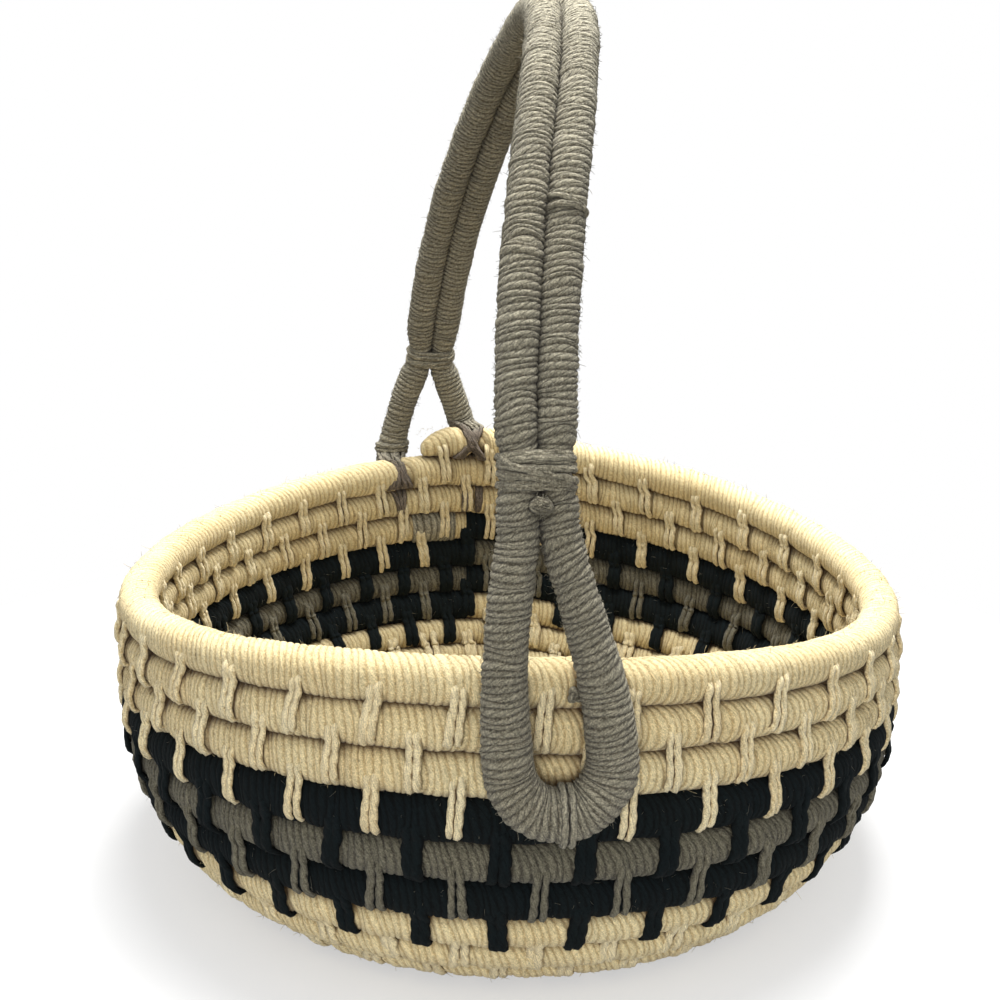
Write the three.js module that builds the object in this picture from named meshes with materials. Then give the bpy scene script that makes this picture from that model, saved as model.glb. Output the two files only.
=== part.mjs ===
// Coiled yarn basket with a tied-on handle: one cord wound up from the middle of the base,
// wrapped in cream, black and grey yarn, and a grey cord loop pinched into a handle.
// Millimetres, +Z up, X to the right, the handle runs from front (-Y) to back (+Y).
import * as THREE from 'three';

// Wall cord
const coreDiameter = 8;        // soft core cord inside the wrap
const yarnLayer = 1.75;        // yarn wound round the core
const rowGap = 0.5;            // clear gap between neighbouring rows
const wrapClearance = 0.3;     // between a core and its wrap, and where two wraps meet
const noseLength = 6;          // the wrapped end of the rim tapers over this length

// Bowl
const baseRadius = 95.4;       // of the flat base, to where the wall begins to rise
const wallLean = [22, 45, 60, 67, 75, 86, 90, 91, 93]; // degrees, each wall row over the one below
const ovalness = 0.064;        // the rim is this share narrower from front to back
const saddle = 6.7;            // the rim is this much lower at the sides, higher at front and back
const rightDrop = 1.5;         // and this much lower at the right
const middleRows = 0.15;       // rows between the middle and the first turn's seam
const firstPlace = 0.39;       // the cord starts at this share of its first turn
const seamAngle = 64;          // degrees, where each turn starts to climb, at the back
const climbAngle = 43.8;       // degrees over which the quick part of the climb happens
const climbShare = 0.5;        // the share of a row's climb made there
const evenTurns = 2;           // turns at the middle of the base that climb evenly
const mergeTurns = 5;          // turns after these that take up the quick climb

// Yarn colours, each from so many rows above the base's edge
const lowerBlackRow = 3;
const greyRow = 4;
const upperBlackRow = 5;
const rimRow = 6;
const wallRows = 9;
const changePart = 0.0975;     // the yarn changes this share of a turn after the seam

// Handle cord
const handleCoreDiameter = 7;
const handleYarnLayer = 2;
const strandGap = 0.4;         // between the two strands side by side
const seatGap = 0.5;           // between the handle and the wall
const frontAngle = -84.5;      // degrees round the basket
const backAngle = 105.5;
const archHeight = 183.2;      // top of the arch above its feet, at the cord's middle
const archShoulder = 1.05;     // powers of the arch outline, 1 is an ellipse
const archCrown = 1.17;
const archLean = 22.1;         // the top leans this far to the right
const archBow = 23;            // and the legs bow this much to the left of that line
const archTwist = 4.7;         // the back half stands this much further right than the front half
const footRise = -0.7;         // the arch starts this far above the rim cord's middle
const frontLoop = { radius: 14.3, split: 44, drop: 30.5, slant: 0.1 };
const backLoop = { radius: 19.5, split: 50, drop: 30.5, slant: 0.02 };

// Tying yarn
const tieYarn = 2;
const tieClearance = 0.45;     // between a tie and what it goes round
const frontBindingTurns = 5;
const backBindingTurns = 4;
const bindingGap = 0.5;        // between the turns of a binding
const bindingRise = 60.8;      // middle of a binding above the arch's foot, front
const backBindingRise = 55;    // and back
const knotDiameter = 5;
const legKnotDiameter = 4;
const tieAlong = 0.257;        // share of the arch's half turn where the small tie sits

// Mesh fineness
const stepsPerTurn = 24;
const stepsPerSmallTurn = 16;
const smallTurns = 4;
const wrapSides = 6;
const coreSides = 4;
const handleSides = 8;

const cordDiameter = coreDiameter + 2 * yarnLayer;
const cordRadius = cordDiameter / 2;
const rowPitch = cordDiameter + rowGap;
const flatCut = cordDiameter / 10;
const baseHeight = cordRadius - flatCut;
const baseRows = baseRadius / rowPitch;
const baseTurns = Math.round(baseRows);
const lastTurn = baseTurns + wallRows; // the cord ends a quick climb into this turn
const handleRadius = handleCoreDiameter / 2 + handleYarnLayer;
const strandOffset = handleRadius + strandGap / 2;
const tieRadius = tieYarn / 2;
const tieReach = handleRadius + tieClearance + tieRadius;
const wallFace = cordRadius * Math.cos(Math.PI / wrapSides);
const handleFace = handleRadius * Math.cos(Math.PI / handleSides);
const handleOffset = cordRadius + seatGap + handleFace;

const degrees = (angle) => (angle * Math.PI) / 180;
const clamp = (value, low, high) => Math.min(high, Math.max(low, value));
const smooth = (share) => share * share * (3 - 2 * share);
const vector = (x, y, z) => new THREE.Vector3(x, y, z);

// Bowl profile
// The rows stand on each other a pitch apart, and their lean grows evenly from row to row.
function leanAt(row) {
  const leans = [0, ...wallLean];
  const place = clamp(row - baseRows + 0.5, 0, leans.length - 1);
  const below = Math.min(Math.floor(place), leans.length - 2);
  return degrees(leans[below] + (leans[below + 1] - leans[below]) * (place - below));
}

const profileSteps = 16;       // per row
const profile = [{ radius: 0, height: 0 }];
for (let i = 0; i < (lastTurn + 2) * profileSteps; i++) {
  const lean = leanAt((i + 0.5) / profileSteps);
  const last = profile[i];
  profile.push({
    radius: last.radius + (rowPitch / profileSteps) * Math.cos(lean),
    height: last.height + (rowPitch / profileSteps) * Math.sin(lean),
  });
}

function profileAt(row) {
  const place = clamp(row * profileSteps, 0, profile.length - 1.001);
  const below = Math.floor(place);
  const share = place - below;
  const low = profile[below];
  const high = profile[below + 1];
  return {
    radius: low.radius + (high.radius - low.radius) * share,
    height: low.height + (high.height - low.height) * share,
  };
}

const wallHeight = profileAt(lastTurn).height;

// A point of the bowl's middle surface, by row and by angle round the basket.
function bowlPoint(row, angle) {
  const { radius, height } = profileAt(row);
  const rise = height / wallHeight;
  const sag = saddle * Math.cos(2 * angle) + rightDrop * Math.cos(angle);
  return vector(
    radius * Math.cos(angle),
    radius * Math.sin(angle) * (1 - ovalness * rise),
    baseHeight + height - sag * rise,
  );
}

// The coil
// Each turn climbs one row: part of it quickly, just after the seam, and the rest evenly.
function rowAt(turns) {
  const turn = Math.floor(turns);
  const part = turns - turn;
  const quick = smooth(clamp((part * 360) / climbAngle, 0, 1));
  const weight = climbShare * clamp((turn - evenTurns) / mergeTurns, 0, 1);
  return middleRows + turn + part + weight * (quick - part);
}

const angleAt = (turns) => degrees(seamAngle) + turns * 2 * Math.PI;
const coilPoint = (turns) => bowlPoint(rowAt(turns), angleAt(turns));

// A station holds a point of the cord, its direction, the way to the next row and outwards.
function station(point, along, across, acrossHalf) {
  const forward = along.clone().normalize();
  const up = across.clone().addScaledVector(forward, -across.dot(forward)).normalize();
  return { point, forward, up, out: forward.clone().cross(up), half: acrossHalf };
}

function coilStation(turns, along) {
  const nudge = 0.01;
  const above = bowlPoint(rowAt(turns) + nudge, angleAt(turns));
  const below = bowlPoint(rowAt(turns) - nudge, angleAt(turns));
  const across = above.sub(below);
  const spacing = across.length() / (2 * nudge);
  return station(coilPoint(turns), along, across, (spacing - rowGap) / 2);
}

// The cord is built on straight runs between places, and wraps meet in the middle of a run.
const lastPlace = lastTurn + climbAngle / 360;
const places = [firstPlace];
for (let turn = 0; turn <= lastTurn; turn++) {
  const steps = turn < smallTurns ? stepsPerSmallTurn : stepsPerTurn;
  for (let i = 0; i < steps; i++) {
    const place = turn + changePart + (i + 0.5) / steps;
    if (place > firstPlace + 1 / steps && place < lastPlace - 0.5 / steps) places.push(place);
  }
}
places.push(lastPlace);

// A point of the cord as it is built, on the straight run between two places.
function chordPoint(turns) {
  const after = Math.max(places.findIndex((place) => place > turns), 1);
  const share = (turns - places[after - 1]) / (places[after] - places[after - 1]);
  return coilPoint(places[after - 1]).lerp(coilPoint(places[after]), share);
}

// The chord that holds a place, so that wraps meet in the middle of a straight run.
function chordMiddle(turns) {
  const after = places.findIndex((place) => place > turns);
  return { after, middle: (places[after - 1] + places[after]) / 2 };
}

function chordStation(after, turns, shift) {
  const start = coilPoint(places[after - 1]);
  const end = coilPoint(places[after]);
  const along = end.clone().sub(start);
  const result = coilStation(turns, along);
  const share = (turns - places[after - 1]) / (places[after] - places[after - 1]);
  result.point = start.addScaledVector(along, share).addScaledVector(result.forward, shift);
  return result;
}

function coilStations(from, to) {
  const stations = [];
  const first = from === undefined ? null : chordMiddle(from);
  const last = to === undefined ? null : chordMiddle(to);
  if (first) stations.push(chordStation(first.after, first.middle, wrapClearance / 2));
  const low = first ? first.after : 0;
  const high = last ? last.after : places.length;
  for (let i = low; i < high; i++) {
    const before = coilPoint(places[Math.max(i - 1, 0)]);
    const after = coilPoint(places[Math.min(i + 1, places.length - 1)]);
    stations.push(coilStation(places[i], after.sub(before)));
  }
  if (last) stations.push(chordStation(last.after, last.middle, -wrapClearance / 2));
  return stations;
}

// Rings and skins
// A ring of points round a station; turn is the angle of its first corner.
function ring(at, sides, half, depth, turn = 0) {
  const points = [];
  for (let i = 0; i < sides; i++) {
    const angle = turn + (i * 2 * Math.PI) / sides;
    const point = at.point.clone();
    point.addScaledVector(at.up, half * Math.cos(angle));
    point.addScaledVector(at.out, depth * Math.sin(angle));
    points.push(point);
  }
  return points;
}

// The base rests on the floor: whatever would reach lower is pressed flat there.
function rest(points) {
  for (const point of points) point.z = Math.max(point.z, 0);
  return points;
}

function mesh(name, positions, colour, roughness) {
  const geometry = new THREE.BufferGeometry();
  geometry.setAttribute('position', new THREE.Float32BufferAttribute(positions, 3));
  geometry.computeVertexNormals();
  const material = new THREE.MeshStandardMaterial({ color: colour, roughness, metalness: 0 });
  const result = new THREE.Mesh(geometry, material);
  result.name = name;
  return result;
}

const triangle = (positions, a, b, c) => positions.push(...a, ...b, ...c);

// Side faces between successive rings; inward turns them to face the axis.
function skin(positions, rings, closed, inward) {
  const count = closed ? rings.length : rings.length - 1;
  for (let i = 0; i < count; i++) {
    const near = rings[i];
    const far = rings[(i + 1) % rings.length];
    for (let j = 0; j < near.length; j++) {
      const k = (j + 1) % near.length;
      triangle(positions, near[j], inward ? far[k] : near[k], inward ? near[k] : far[k]);
      triangle(positions, near[j], inward ? far[j] : far[k], inward ? far[k] : far[j]);
    }
  }
}

// A flat end, whole or with the bore's ring left open; forward faces along the cord.
function end(positions, at, outer, bore, forward) {
  const flat = (point) => {
    const offset = point.clone().sub(at.point);
    return new THREE.Vector2(offset.dot(at.up), offset.dot(at.out));
  };
  const points = bore ? [...outer, ...bore] : outer;
  const holes = bore ? [bore.map(flat)] : [];
  for (const face of THREE.ShapeUtils.triangulateShape(outer.map(flat), holes)) {
    const [a, b, c] = face.map((index) => points[index]);
    const normal = b.clone().sub(a).cross(c.clone().sub(a));
    const outwards = normal.dot(at.forward) > 0 === forward;
    triangle(positions, a, outwards ? b : c, outwards ? c : b);
  }
}

// A tube round stations, with a bore where boreRing is given.
function tube(name, colour, stations, outerRing, bore = null) {
  const positions = [];
  const outer = stations.map(outerRing);
  const last = stations.length - 1;
  skin(positions, outer, false, false);
  const openStart = bore && bore.openStart;
  const openEnd = bore && bore.openEnd;
  const boreRings = bore ? bore.stations.map(bore.ring) : [];
  const boreLast = boreRings.length - 1;
  if (bore) skin(positions, boreRings, false, true);
  end(positions, stations[0], outer[0], openStart ? boreRings[0] : null, false);
  end(positions, stations[last], outer[last], openEnd ? boreRings[boreLast] : null, true);
  if (bore && !openStart) end(positions, bore.stations[0], boreRings[0], null, true);
  if (bore && !openEnd) end(positions, bore.stations[boreLast], boreRings[boreLast], null, false);
  return mesh(name, positions, colour, 0.95);
}

function ringTube(name, colour, stations, outerRing) {
  const positions = [];
  skin(positions, stations.map(outerRing), true, false);
  return mesh(name, positions, colour, 0.95);
}

// Stations moved along the cord, for the bore's blind ends and for a tapered nose.
function shifted(at, distance) {
  return { ...at, point: at.point.clone().addScaledVector(at.forward, distance) };
}

// Colours
const cream = 0xe6dab4;
const black = 0x14161a;
const grey = 0x7b7665;
const cotton = 0xe8e4da;

const object = new THREE.Group();

// Core cord and its wraps
const coreCorner = Math.PI / coreSides;
const boreRadius = coreDiameter / 2 + wrapClearance / Math.cos(coreCorner);
const coreRing = (at) => ring(at, coreSides, coreDiameter / 2, coreDiameter / 2, coreCorner);
const boreRing = (at) => ring(at, coreSides, boreRadius, boreRadius, coreCorner);
const wrapRing = (at) => {
  const scale = at.scale ?? 1;
  return rest(ring(at, wrapSides, at.half * scale, cordRadius * scale));
};

// The stations of a wrap's outside; its last stretch narrows where the cord ends at the rim.
function noseStations(stations) {
  const tip = stations[stations.length - 1];
  const body = stations.slice(0, -1);
  for (const [share, scale] of [[1, 1], [0.45, 0.9], [0.15, 0.7], [0, 0.45]]) {
    body.push({ ...shifted(tip, -noseLength * share), scale });
  }
  return body;
}

function addWrap(name, colour, fromRow, toRow) {
  const from = fromRow === undefined ? undefined : baseTurns + fromRow + changePart;
  const to = toRow === undefined ? undefined : baseTurns + toRow + changePart;
  const stations = coilStations(from, to);
  const inner = [...stations];
  const last = inner.length - 1;
  if (from === undefined) inner[0] = shifted(inner[0], yarnLayer);
  if (to === undefined) inner[last] = shifted(inner[last], -yarnLayer);
  const outer = to === undefined ? noseStations(stations) : stations;
  const bore = {
    stations: inner,
    ring: boreRing,
    openStart: from !== undefined,
    openEnd: to !== undefined,
  };
  object.add(tube(name, colour, outer, wrapRing, bore));
}

addWrap('base_wrap_cream', cream, undefined, lowerBlackRow);
addWrap('lower_wrap_black', black, lowerBlackRow, greyRow);
addWrap('middle_wrap_grey', grey, greyRow, upperBlackRow);
addWrap('upper_wrap_black', black, upperBlackRow, rimRow);
addWrap('rim_wrap_cream', cream, rimRow, undefined);

const coreStations = coilStations();
const coreEnd = coreStations.length - 1;
const coreInset = yarnLayer + wrapClearance;
coreStations[0] = shifted(coreStations[0], coreInset);
coreStations[coreEnd] = shifted(coreStations[coreEnd], -coreInset);
object.add(tube('core_cord', cotton, coreStations, coreRing));

// Handle
// The rim cord's top row at an angle in degrees, and the outside of the wall beside a height.
function topTurns(angle) {
  const part = (((angle - seamAngle) / 360) % 1 + 1) % 1;
  return part <= climbAngle / 360 ? lastTurn + part : lastTurn - 1 + part;
}

function wallRadiusAt(angle, height) {
  let row = rowAt(topTurns(angle));
  while (bowlPoint(row, degrees(angle)).z > height && row > baseRows) row -= 0.1;
  const point = bowlPoint(row, degrees(angle));
  return Math.hypot(point.x, point.y);
}

function foot(angle) {
  const turns = topTurns(angle + (angle > 0 ? climbAngle / 2 : 0));
  const height = coilPoint(turns).z + footRise;
  const radius = wallRadiusAt(angle, height) + handleOffset;
  return vector(radius * Math.cos(degrees(angle)), radius * Math.sin(degrees(angle)), height);
}

const frontFoot = foot(frontAngle);
const backFoot = foot(backAngle);
const chord = backFoot.clone().sub(frontFoot);
const sideways = vector(chord.y, -chord.x, 0).normalize();

// Middle line of the arch; share runs from the front foot to the back foot.
function archPoint(share) {
  const angle = share * Math.PI;
  const along = -Math.sign(Math.cos(angle)) * Math.abs(Math.cos(angle)) ** archShoulder;
  const rise = Math.max(Math.sin(angle), 0) ** archCrown;
  const point = frontFoot.clone().addScaledVector(chord, (along + 1) / 2);
  point.z += archHeight * rise;
  point.x += archLean * rise * rise - archBow * rise * (1 - rise) + archTwist * along * rise;
  return point;
}

// Middle line of a loop below its foot, against the wall.
function loopPoint(angle, footPoint, loop, below) {
  const height = footPoint.z - below;
  const radius = wallRadiusAt(angle, height) + handleOffset;
  const point = vector(radius * Math.cos(degrees(angle)), radius * Math.sin(degrees(angle)), height);
  return point.addScaledVector(sideways, loop.slant * below);
}

// The share of the arch that lies a height above its foot, by halving.
function archShare(height, fromBack) {
  let low = 0;
  let high = 0.5;
  for (let i = 0; i < 30; i++) {
    const middle = (low + high) / 2;
    const share = fromBack ? 1 - middle : middle;
    const footPoint = fromBack ? backFoot : frontFoot;
    if (archPoint(share).z - footPoint.z < height) low = middle;
    else high = middle;
  }
  return fromBack ? 1 - low : low;
}

// How far each strand stands from the middle line, by height above the loop's bottom.
function spreadAt(loop, above) {
  if (above < loop.radius) {
    return Math.sqrt(Math.max(loop.radius ** 2 - (loop.radius - above) ** 2, 0));
  }
  const top = loop.drop + loop.split;
  const share = clamp((top - above) / (top - loop.radius), 0, 1);
  return strandOffset + (loop.radius - strandOffset) * Math.sin((share * Math.PI) / 2);
}

// One end of the handle, from the loop's bottom up to where its strands meet.
function loopLine(angle, footPoint, loop, fromBack) {
  const line = [];
  const heights = [];
  for (let i = 0; i <= 6; i++) heights.push(loop.radius * (1 - Math.cos((i * Math.PI) / 12)));
  const remaining = loop.drop + loop.split - loop.radius;
  for (let i = 1; i <= 5; i++) heights.push(loop.radius + (remaining * i) / 5);
  for (const above of heights) {
    const below = loop.drop - above;
    const middle = below >= 0
      ? loopPoint(angle, footPoint, loop, below)
      : archPoint(archShare(-below, fromBack));
    const spread = spreadAt(loop, above);
    const radius = Math.hypot(footPoint.x, footPoint.y);
    const sag = radius - Math.sqrt(radius ** 2 - spread ** 2);
    const outwards = vector(Math.cos(degrees(angle)), Math.sin(degrees(angle)), 0);
    middle.addScaledVector(outwards, -sag);
    line.push({ middle, spread });
  }
  return line;
}

const frontLine = loopLine(frontAngle, frontFoot, frontLoop, false);
const backLine = loopLine(backAngle, backFoot, backLoop, true);
const archStart = archShare(frontLoop.split, false);
const archEnd = archShare(backLoop.split, true);
const archSteps = 22;
const archLine = [];
for (let i = 1; i < archSteps; i++) {
  const share = archStart + ((archEnd - archStart) * i) / archSteps;
  archLine.push({ middle: archPoint(share), spread: strandOffset });
}
const line = [...frontLine, ...archLine, ...backLine.reverse()];

// The sideways direction square to the middle line.
function sideAt(index) {
  const before = line[Math.max(index - 1, 0)].middle;
  const after = line[Math.min(index + 1, line.length - 1)].middle;
  const along = after.clone().sub(before).normalize();
  return sideways.clone().addScaledVector(along, -sideways.dot(along)).normalize();
}

const rightSide = line.map((at, i) => at.middle.clone().addScaledVector(sideAt(i), at.spread));
const leftSide = line.map((at, i) => at.middle.clone().addScaledVector(sideAt(i), -at.spread));
const loopPoints = [...rightSide, ...leftSide.slice(1, -1).reverse()];

// The wrap starts and ends under the front binding, so the loop starts there, on the right strand.
const bindingShare = archShare(bindingRise, false);
const bindingMiddle = archPoint(bindingShare);
const nearest = rightSide.reduce((best, point, i) => {
  const closer = point.distanceTo(bindingMiddle) < rightSide[best].distanceTo(bindingMiddle);
  return closer ? i : best;
}, 0);
const ordered = [...loopPoints.slice(nearest), ...loopPoints.slice(0, nearest)];

// Stations round the closed loop; the section turns with the way to the basket's outside.
function loopStations(points) {
  return points.map((point, i) => {
    const before = points[(i + points.length - 1) % points.length];
    const after = points[(i + 1) % points.length];
    const along = after.clone().sub(before);
    const outwards = handleOut(point);
    return station(point, along, outwards, handleRadius);
  });
}

const archMiddle = frontFoot.clone().add(backFoot).multiplyScalar(0.5);
function handleOut(point) {
  const outwards = point.clone().sub(archMiddle);
  const across = outwards.dot(sideways);
  outwards.addScaledVector(sideways, -across);
  if (outwards.z < 0) outwards.z = 0;
  return outwards;
}

const handleStations = loopStations(ordered);
const handleRing = (at) => ring(at, handleSides, handleRadius, handleRadius, Math.PI / handleSides);
const handleCore = (at) => ring(at, coreSides, handleCoreDiameter / 2, handleCoreDiameter / 2);
const handleBore = (at) => {
  const radius = handleCoreDiameter / 2 + wrapClearance / Math.cos(coreCorner);
  return ring(at, coreSides, radius, radius);
};
object.add(ringTube('handle_core', cotton, handleStations, handleCore));

const openStations = handleStations.slice(1);
const seamStation = handleStations[0];
openStations.unshift(shifted(seamStation, wrapClearance / 2));
openStations.push(shifted(seamStation, -wrapClearance / 2));
object.add(tube('handle_wrap', grey, openStations, handleRing, {
  stations: openStations,
  ring: handleBore,
  openStart: true,
  openEnd: true,
}));

// Tying yarn
// A yarn along points, with its own round section.
function yarn(name, colour, points, sides = 6) {
  const stations = points.map((point, i) => {
    const before = points[Math.max(i - 1, 0)];
    const after = points[Math.min(i + 1, points.length - 1)];
    return { point, along: after.clone().sub(before).normalize() };
  });
  let up = vector(0, 0, 1);
  if (Math.abs(stations[0].along.z) > 0.9) up = sideways.clone();
  const framed = stations.map(({ point, along }) => {
    const result = station(point, along, up, tieRadius);
    up = result.up;
    return result;
  });
  return tube(name, colour, framed, (at) => ring(at, sides, tieRadius, tieRadius));
}

// A frame on the arch: along the strands, sideways and away from the basket.
function archFrame(share) {
  const nudge = 0.005;
  const point = archPoint(share);
  const along = archPoint(share + nudge).sub(archPoint(share - nudge)).normalize();
  const side = sideways.clone().addScaledVector(along, -sideways.dot(along)).normalize();
  return { point, along, side, out: side.clone().cross(along) };
}

const placed = (frame, side, out, along) => frame.point.clone()
  .addScaledVector(frame.side, side)
  .addScaledVector(frame.out, out)
  .addScaledVector(frame.along, along);

// A binding: one yarn wound round both strands.
const bindingSteps = 12;
function binding(name, share, turns) {
  const frame = archFrame(share);
  const radius = (tieReach + rowGap / 4) / Math.cos(Math.PI / bindingSteps);
  const pitch = tieYarn + bindingGap;
  const points = [];
  for (let i = 0; i <= turns * bindingSteps; i++) {
    const angle = (i * 2 * Math.PI) / bindingSteps;
    const side = Math.cos(angle);
    const reach = strandOffset * clamp(side * 3, -1, 1);
    const climb = (i / bindingSteps - turns / 2) * pitch;
    points.push(placed(frame, reach + radius * side, radius * Math.sin(angle), climb));
  }
  return { points, solid: yarn(name, grey, points, 5) };
}

const frontBinding = binding('front_binding', bindingShare, frontBindingTurns);
const backBindingShare = archShare(backBindingRise, true);
const backBinding = binding('back_binding', backBindingShare, backBindingTurns);
object.add(frontBinding.solid, backBinding.solid);

function knot(name, point, diameter) {
  const shape = new THREE.IcosahedronGeometry(diameter / 2, 1);
  shape.translate(point.x, point.y, point.z);
  return mesh(name, [...shape.attributes.position.array], grey, 0.95);
}

// The knot under the front binding lies in the groove between the strands.
const knotReach = handleFace + wrapClearance + knotDiameter / 2;
const knotOut = Math.sqrt(knotReach ** 2 - strandOffset ** 2);
const knotBelow = (frontBindingTurns * (tieYarn + bindingGap)) / 2 + tieRadius + knotDiameter / 2;
const knotFrame = archFrame(bindingShare);
const knotPoint = placed(knotFrame, 0, knotOut, -knotBelow);
object.add(knot('front_binding_knot', knotPoint, knotDiameter));

// A short tie round the right strand, higher up, from groove to groove.
const tieFrame = archFrame(tieAlong);
const tiePoints = [];
for (let i = 0; i <= 10; i++) {
  const angle = degrees(-118 + 23.6 * i);
  const side = strandOffset + tieReach * Math.cos(angle);
  tiePoints.push(placed(tieFrame, side, tieReach * Math.sin(angle), 0));
}
object.add(yarn('handle_tie', grey, tiePoints));

// Where a strand of the handle passes a height, at one end of the handle.
function strandAt(side, height, fromBack) {
  const order = fromBack ? [...side].reverse() : side;
  const above = order.findIndex((point) => point.z > height);
  const low = order[above - 1];
  const high = order[above];
  return low.clone().lerp(high, (height - low.z) / (high.z - low.z));
}

// Back lashings: each goes round a leg of the handle and down the inside of the rim cord.
function lashing(name, side) {
  const rise = cordRadius + 2 * tieClearance + tieRadius;
  const guess = strandAt(side, backFoot.z + cordRadius, true);
  const rimTurns = topTurns((Math.atan2(guess.y, guess.x) * 180) / Math.PI);
  const leg = strandAt(side, chordPoint(rimTurns).z + rise, true);
  const outwards = leg.clone().setZ(0).normalize();
  const across = vector(outwards.y, -outwards.x, 0);
  const inside = -(wallFace + 2 * tieClearance + tieRadius);
  const reach = tieReach + 1.5 * wrapClearance;
  // Sideways, outwards and up from the rim cord, then sideways and outwards from the leg.
  const overRim = [
    [0.4 * reach, inside, -0.8 * cordRadius],
    [0.5 * reach, inside, 0],
    [0.75 * reach, 0.92 * inside, 0.9 * rise],
    [reach, 0, rise],
  ];
  const roundLeg = [
    [reach, 0],
    [0.75 * reach, 0.75 * reach],
    [0, 1.05 * reach],
  ];
  const turnAngle = Math.atan2(leg.y, leg.x);
  const nearRim = (sidewaysBy) => {
    const angle = turnAngle - sidewaysBy / Math.hypot(leg.x, leg.y);
    return chordPoint(topTurns((angle * 180) / Math.PI));
  };
  const half = (mirror) => [
    ...overRim.map(([sideStep, out, up]) => nearRim(mirror * sideStep)
      .addScaledVector(outwards, out)
      .add(vector(0, 0, up))),
    ...roundLeg.map(([sideStep, out]) => leg.clone()
      .addScaledVector(across, mirror * sideStep)
      .addScaledVector(outwards, out)),
  ];
  const points = [...half(1), ...half(-1).slice(0, -1).reverse()];
  return yarn(name, grey, points);
}

object.add(lashing('back_left_lashing', leftSide), lashing('back_right_lashing', rightSide));

// Loop stitches: a yarn over the bottom of each loop, from the wall above to the wall below.
function loopStitch(name, angle, footPoint, loop) {
  const middle = loopPoint(angle, footPoint, loop, loop.drop);
  const outwards = vector(Math.cos(degrees(angle)), Math.sin(degrees(angle)), 0);
  const wall = tieClearance + cordRadius - handleOffset;
  const profilePoints = [[wall, -tieReach]];
  for (let i = -3; i <= 3; i++) {
    const turn = degrees(30 * i);
    profilePoints.push([tieReach * Math.cos(turn), tieReach * Math.sin(turn)]);
  }
  profilePoints.push([wall, tieReach]);
  const points = profilePoints.map(([out, up]) => middle.clone()
    .addScaledVector(outwards, out)
    .add(vector(0, 0, up)));
  return yarn(name, grey, points);
}

object.add(loopStitch('front_loop_stitch', frontAngle, frontFoot, frontLoop));
object.add(loopStitch('back_loop_stitch', backAngle, backFoot, backLoop));

// The front right leg is also tied to the rim cord, with a knot between the leg and the wall.
const legPoint = strandAt(rightSide, frontFoot.z, false);
const legOut = vector(Math.cos(degrees(frontAngle)), Math.sin(degrees(frontAngle)), 0);
const knotInward = handleOffset - cordRadius - wrapClearance - legKnotDiameter / 2;
const legKnotReach = handleRadius + tieClearance + wrapClearance + legKnotDiameter / 2;
const knotAcross = Math.sqrt(legKnotReach ** 2 - knotInward ** 2);
legPoint.addScaledVector(sideways, -knotAcross).addScaledVector(legOut, -knotInward);
object.add(knot('front_leg_knot', legPoint, legKnotDiameter));

// Least gap between turns of one wound yarn, on the corners of its sections.
function turnGap(points, steps) {
  let least = Infinity;
  for (let i = 0; i < points.length; i++) {
    for (let j = i + steps; j < points.length; j++) {
      least = Math.min(least, points[i].distanceTo(points[j]));
    }
  }
  return least;
}

function coilGap() {
  const stations = coilStations();
  const rings = stations.map(wrapRing);
  let least = Infinity;
  for (let i = 0; i < rings.length; i++) {
    for (let j = i + stepsPerSmallTurn / 2; j < rings.length; j++) {
      if (stations[i].point.distanceTo(stations[j].point) > 2 * rowPitch) continue;
      for (const a of rings[i]) for (const b of rings[j]) least = Math.min(least, a.distanceTo(b));
    }
  }
  return least;
}

const bindingLeast = turnGap(frontBinding.points, bindingSteps / 2) - tieYarn;
console.log(`least gap between the coil's turns ${coilGap().toFixed(2)} mm`);
console.log(`least gap between a binding's turns ${bindingLeast.toFixed(2)} mm`);

// The origin is the middle of the whole basket's box, on the floor.
const box = new THREE.Box3().setFromObject(object);
const middle = box.getCenter(new THREE.Vector3());
object.position.set(-middle.x, -middle.y, -box.min.z);
console.log(`box ${box.getSize(new THREE.Vector3()).toArray().map((v) => v.toFixed(1))}`);
console.log(`the bowl's axis is at ${-middle.x.toFixed(2)}, ${-middle.y.toFixed(2)}`);

export default object;
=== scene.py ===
"""The looks of a coiled yarn basket: one cord wound up from the base and wrapped in yarn, each row
sewn to the row below by long double stitches, with a wrapped cord loop tied on as its handle."""
import math

import bpy
import numpy as np
from mathutils import Matrix, Vector


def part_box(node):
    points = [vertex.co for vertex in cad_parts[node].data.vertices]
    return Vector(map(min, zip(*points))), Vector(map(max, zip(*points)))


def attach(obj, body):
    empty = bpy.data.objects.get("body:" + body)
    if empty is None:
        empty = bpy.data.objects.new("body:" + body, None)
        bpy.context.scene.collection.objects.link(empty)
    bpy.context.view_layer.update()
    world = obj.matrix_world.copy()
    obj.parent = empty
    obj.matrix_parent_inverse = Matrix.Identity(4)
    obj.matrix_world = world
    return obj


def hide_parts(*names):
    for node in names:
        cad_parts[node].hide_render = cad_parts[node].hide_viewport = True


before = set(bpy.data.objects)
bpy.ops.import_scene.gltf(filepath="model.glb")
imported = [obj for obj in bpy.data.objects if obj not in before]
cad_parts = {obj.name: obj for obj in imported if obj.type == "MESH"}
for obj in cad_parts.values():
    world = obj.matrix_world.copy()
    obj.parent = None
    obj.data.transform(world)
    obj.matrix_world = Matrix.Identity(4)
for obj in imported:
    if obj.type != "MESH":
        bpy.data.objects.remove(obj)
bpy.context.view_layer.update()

MM = 0.001

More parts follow.
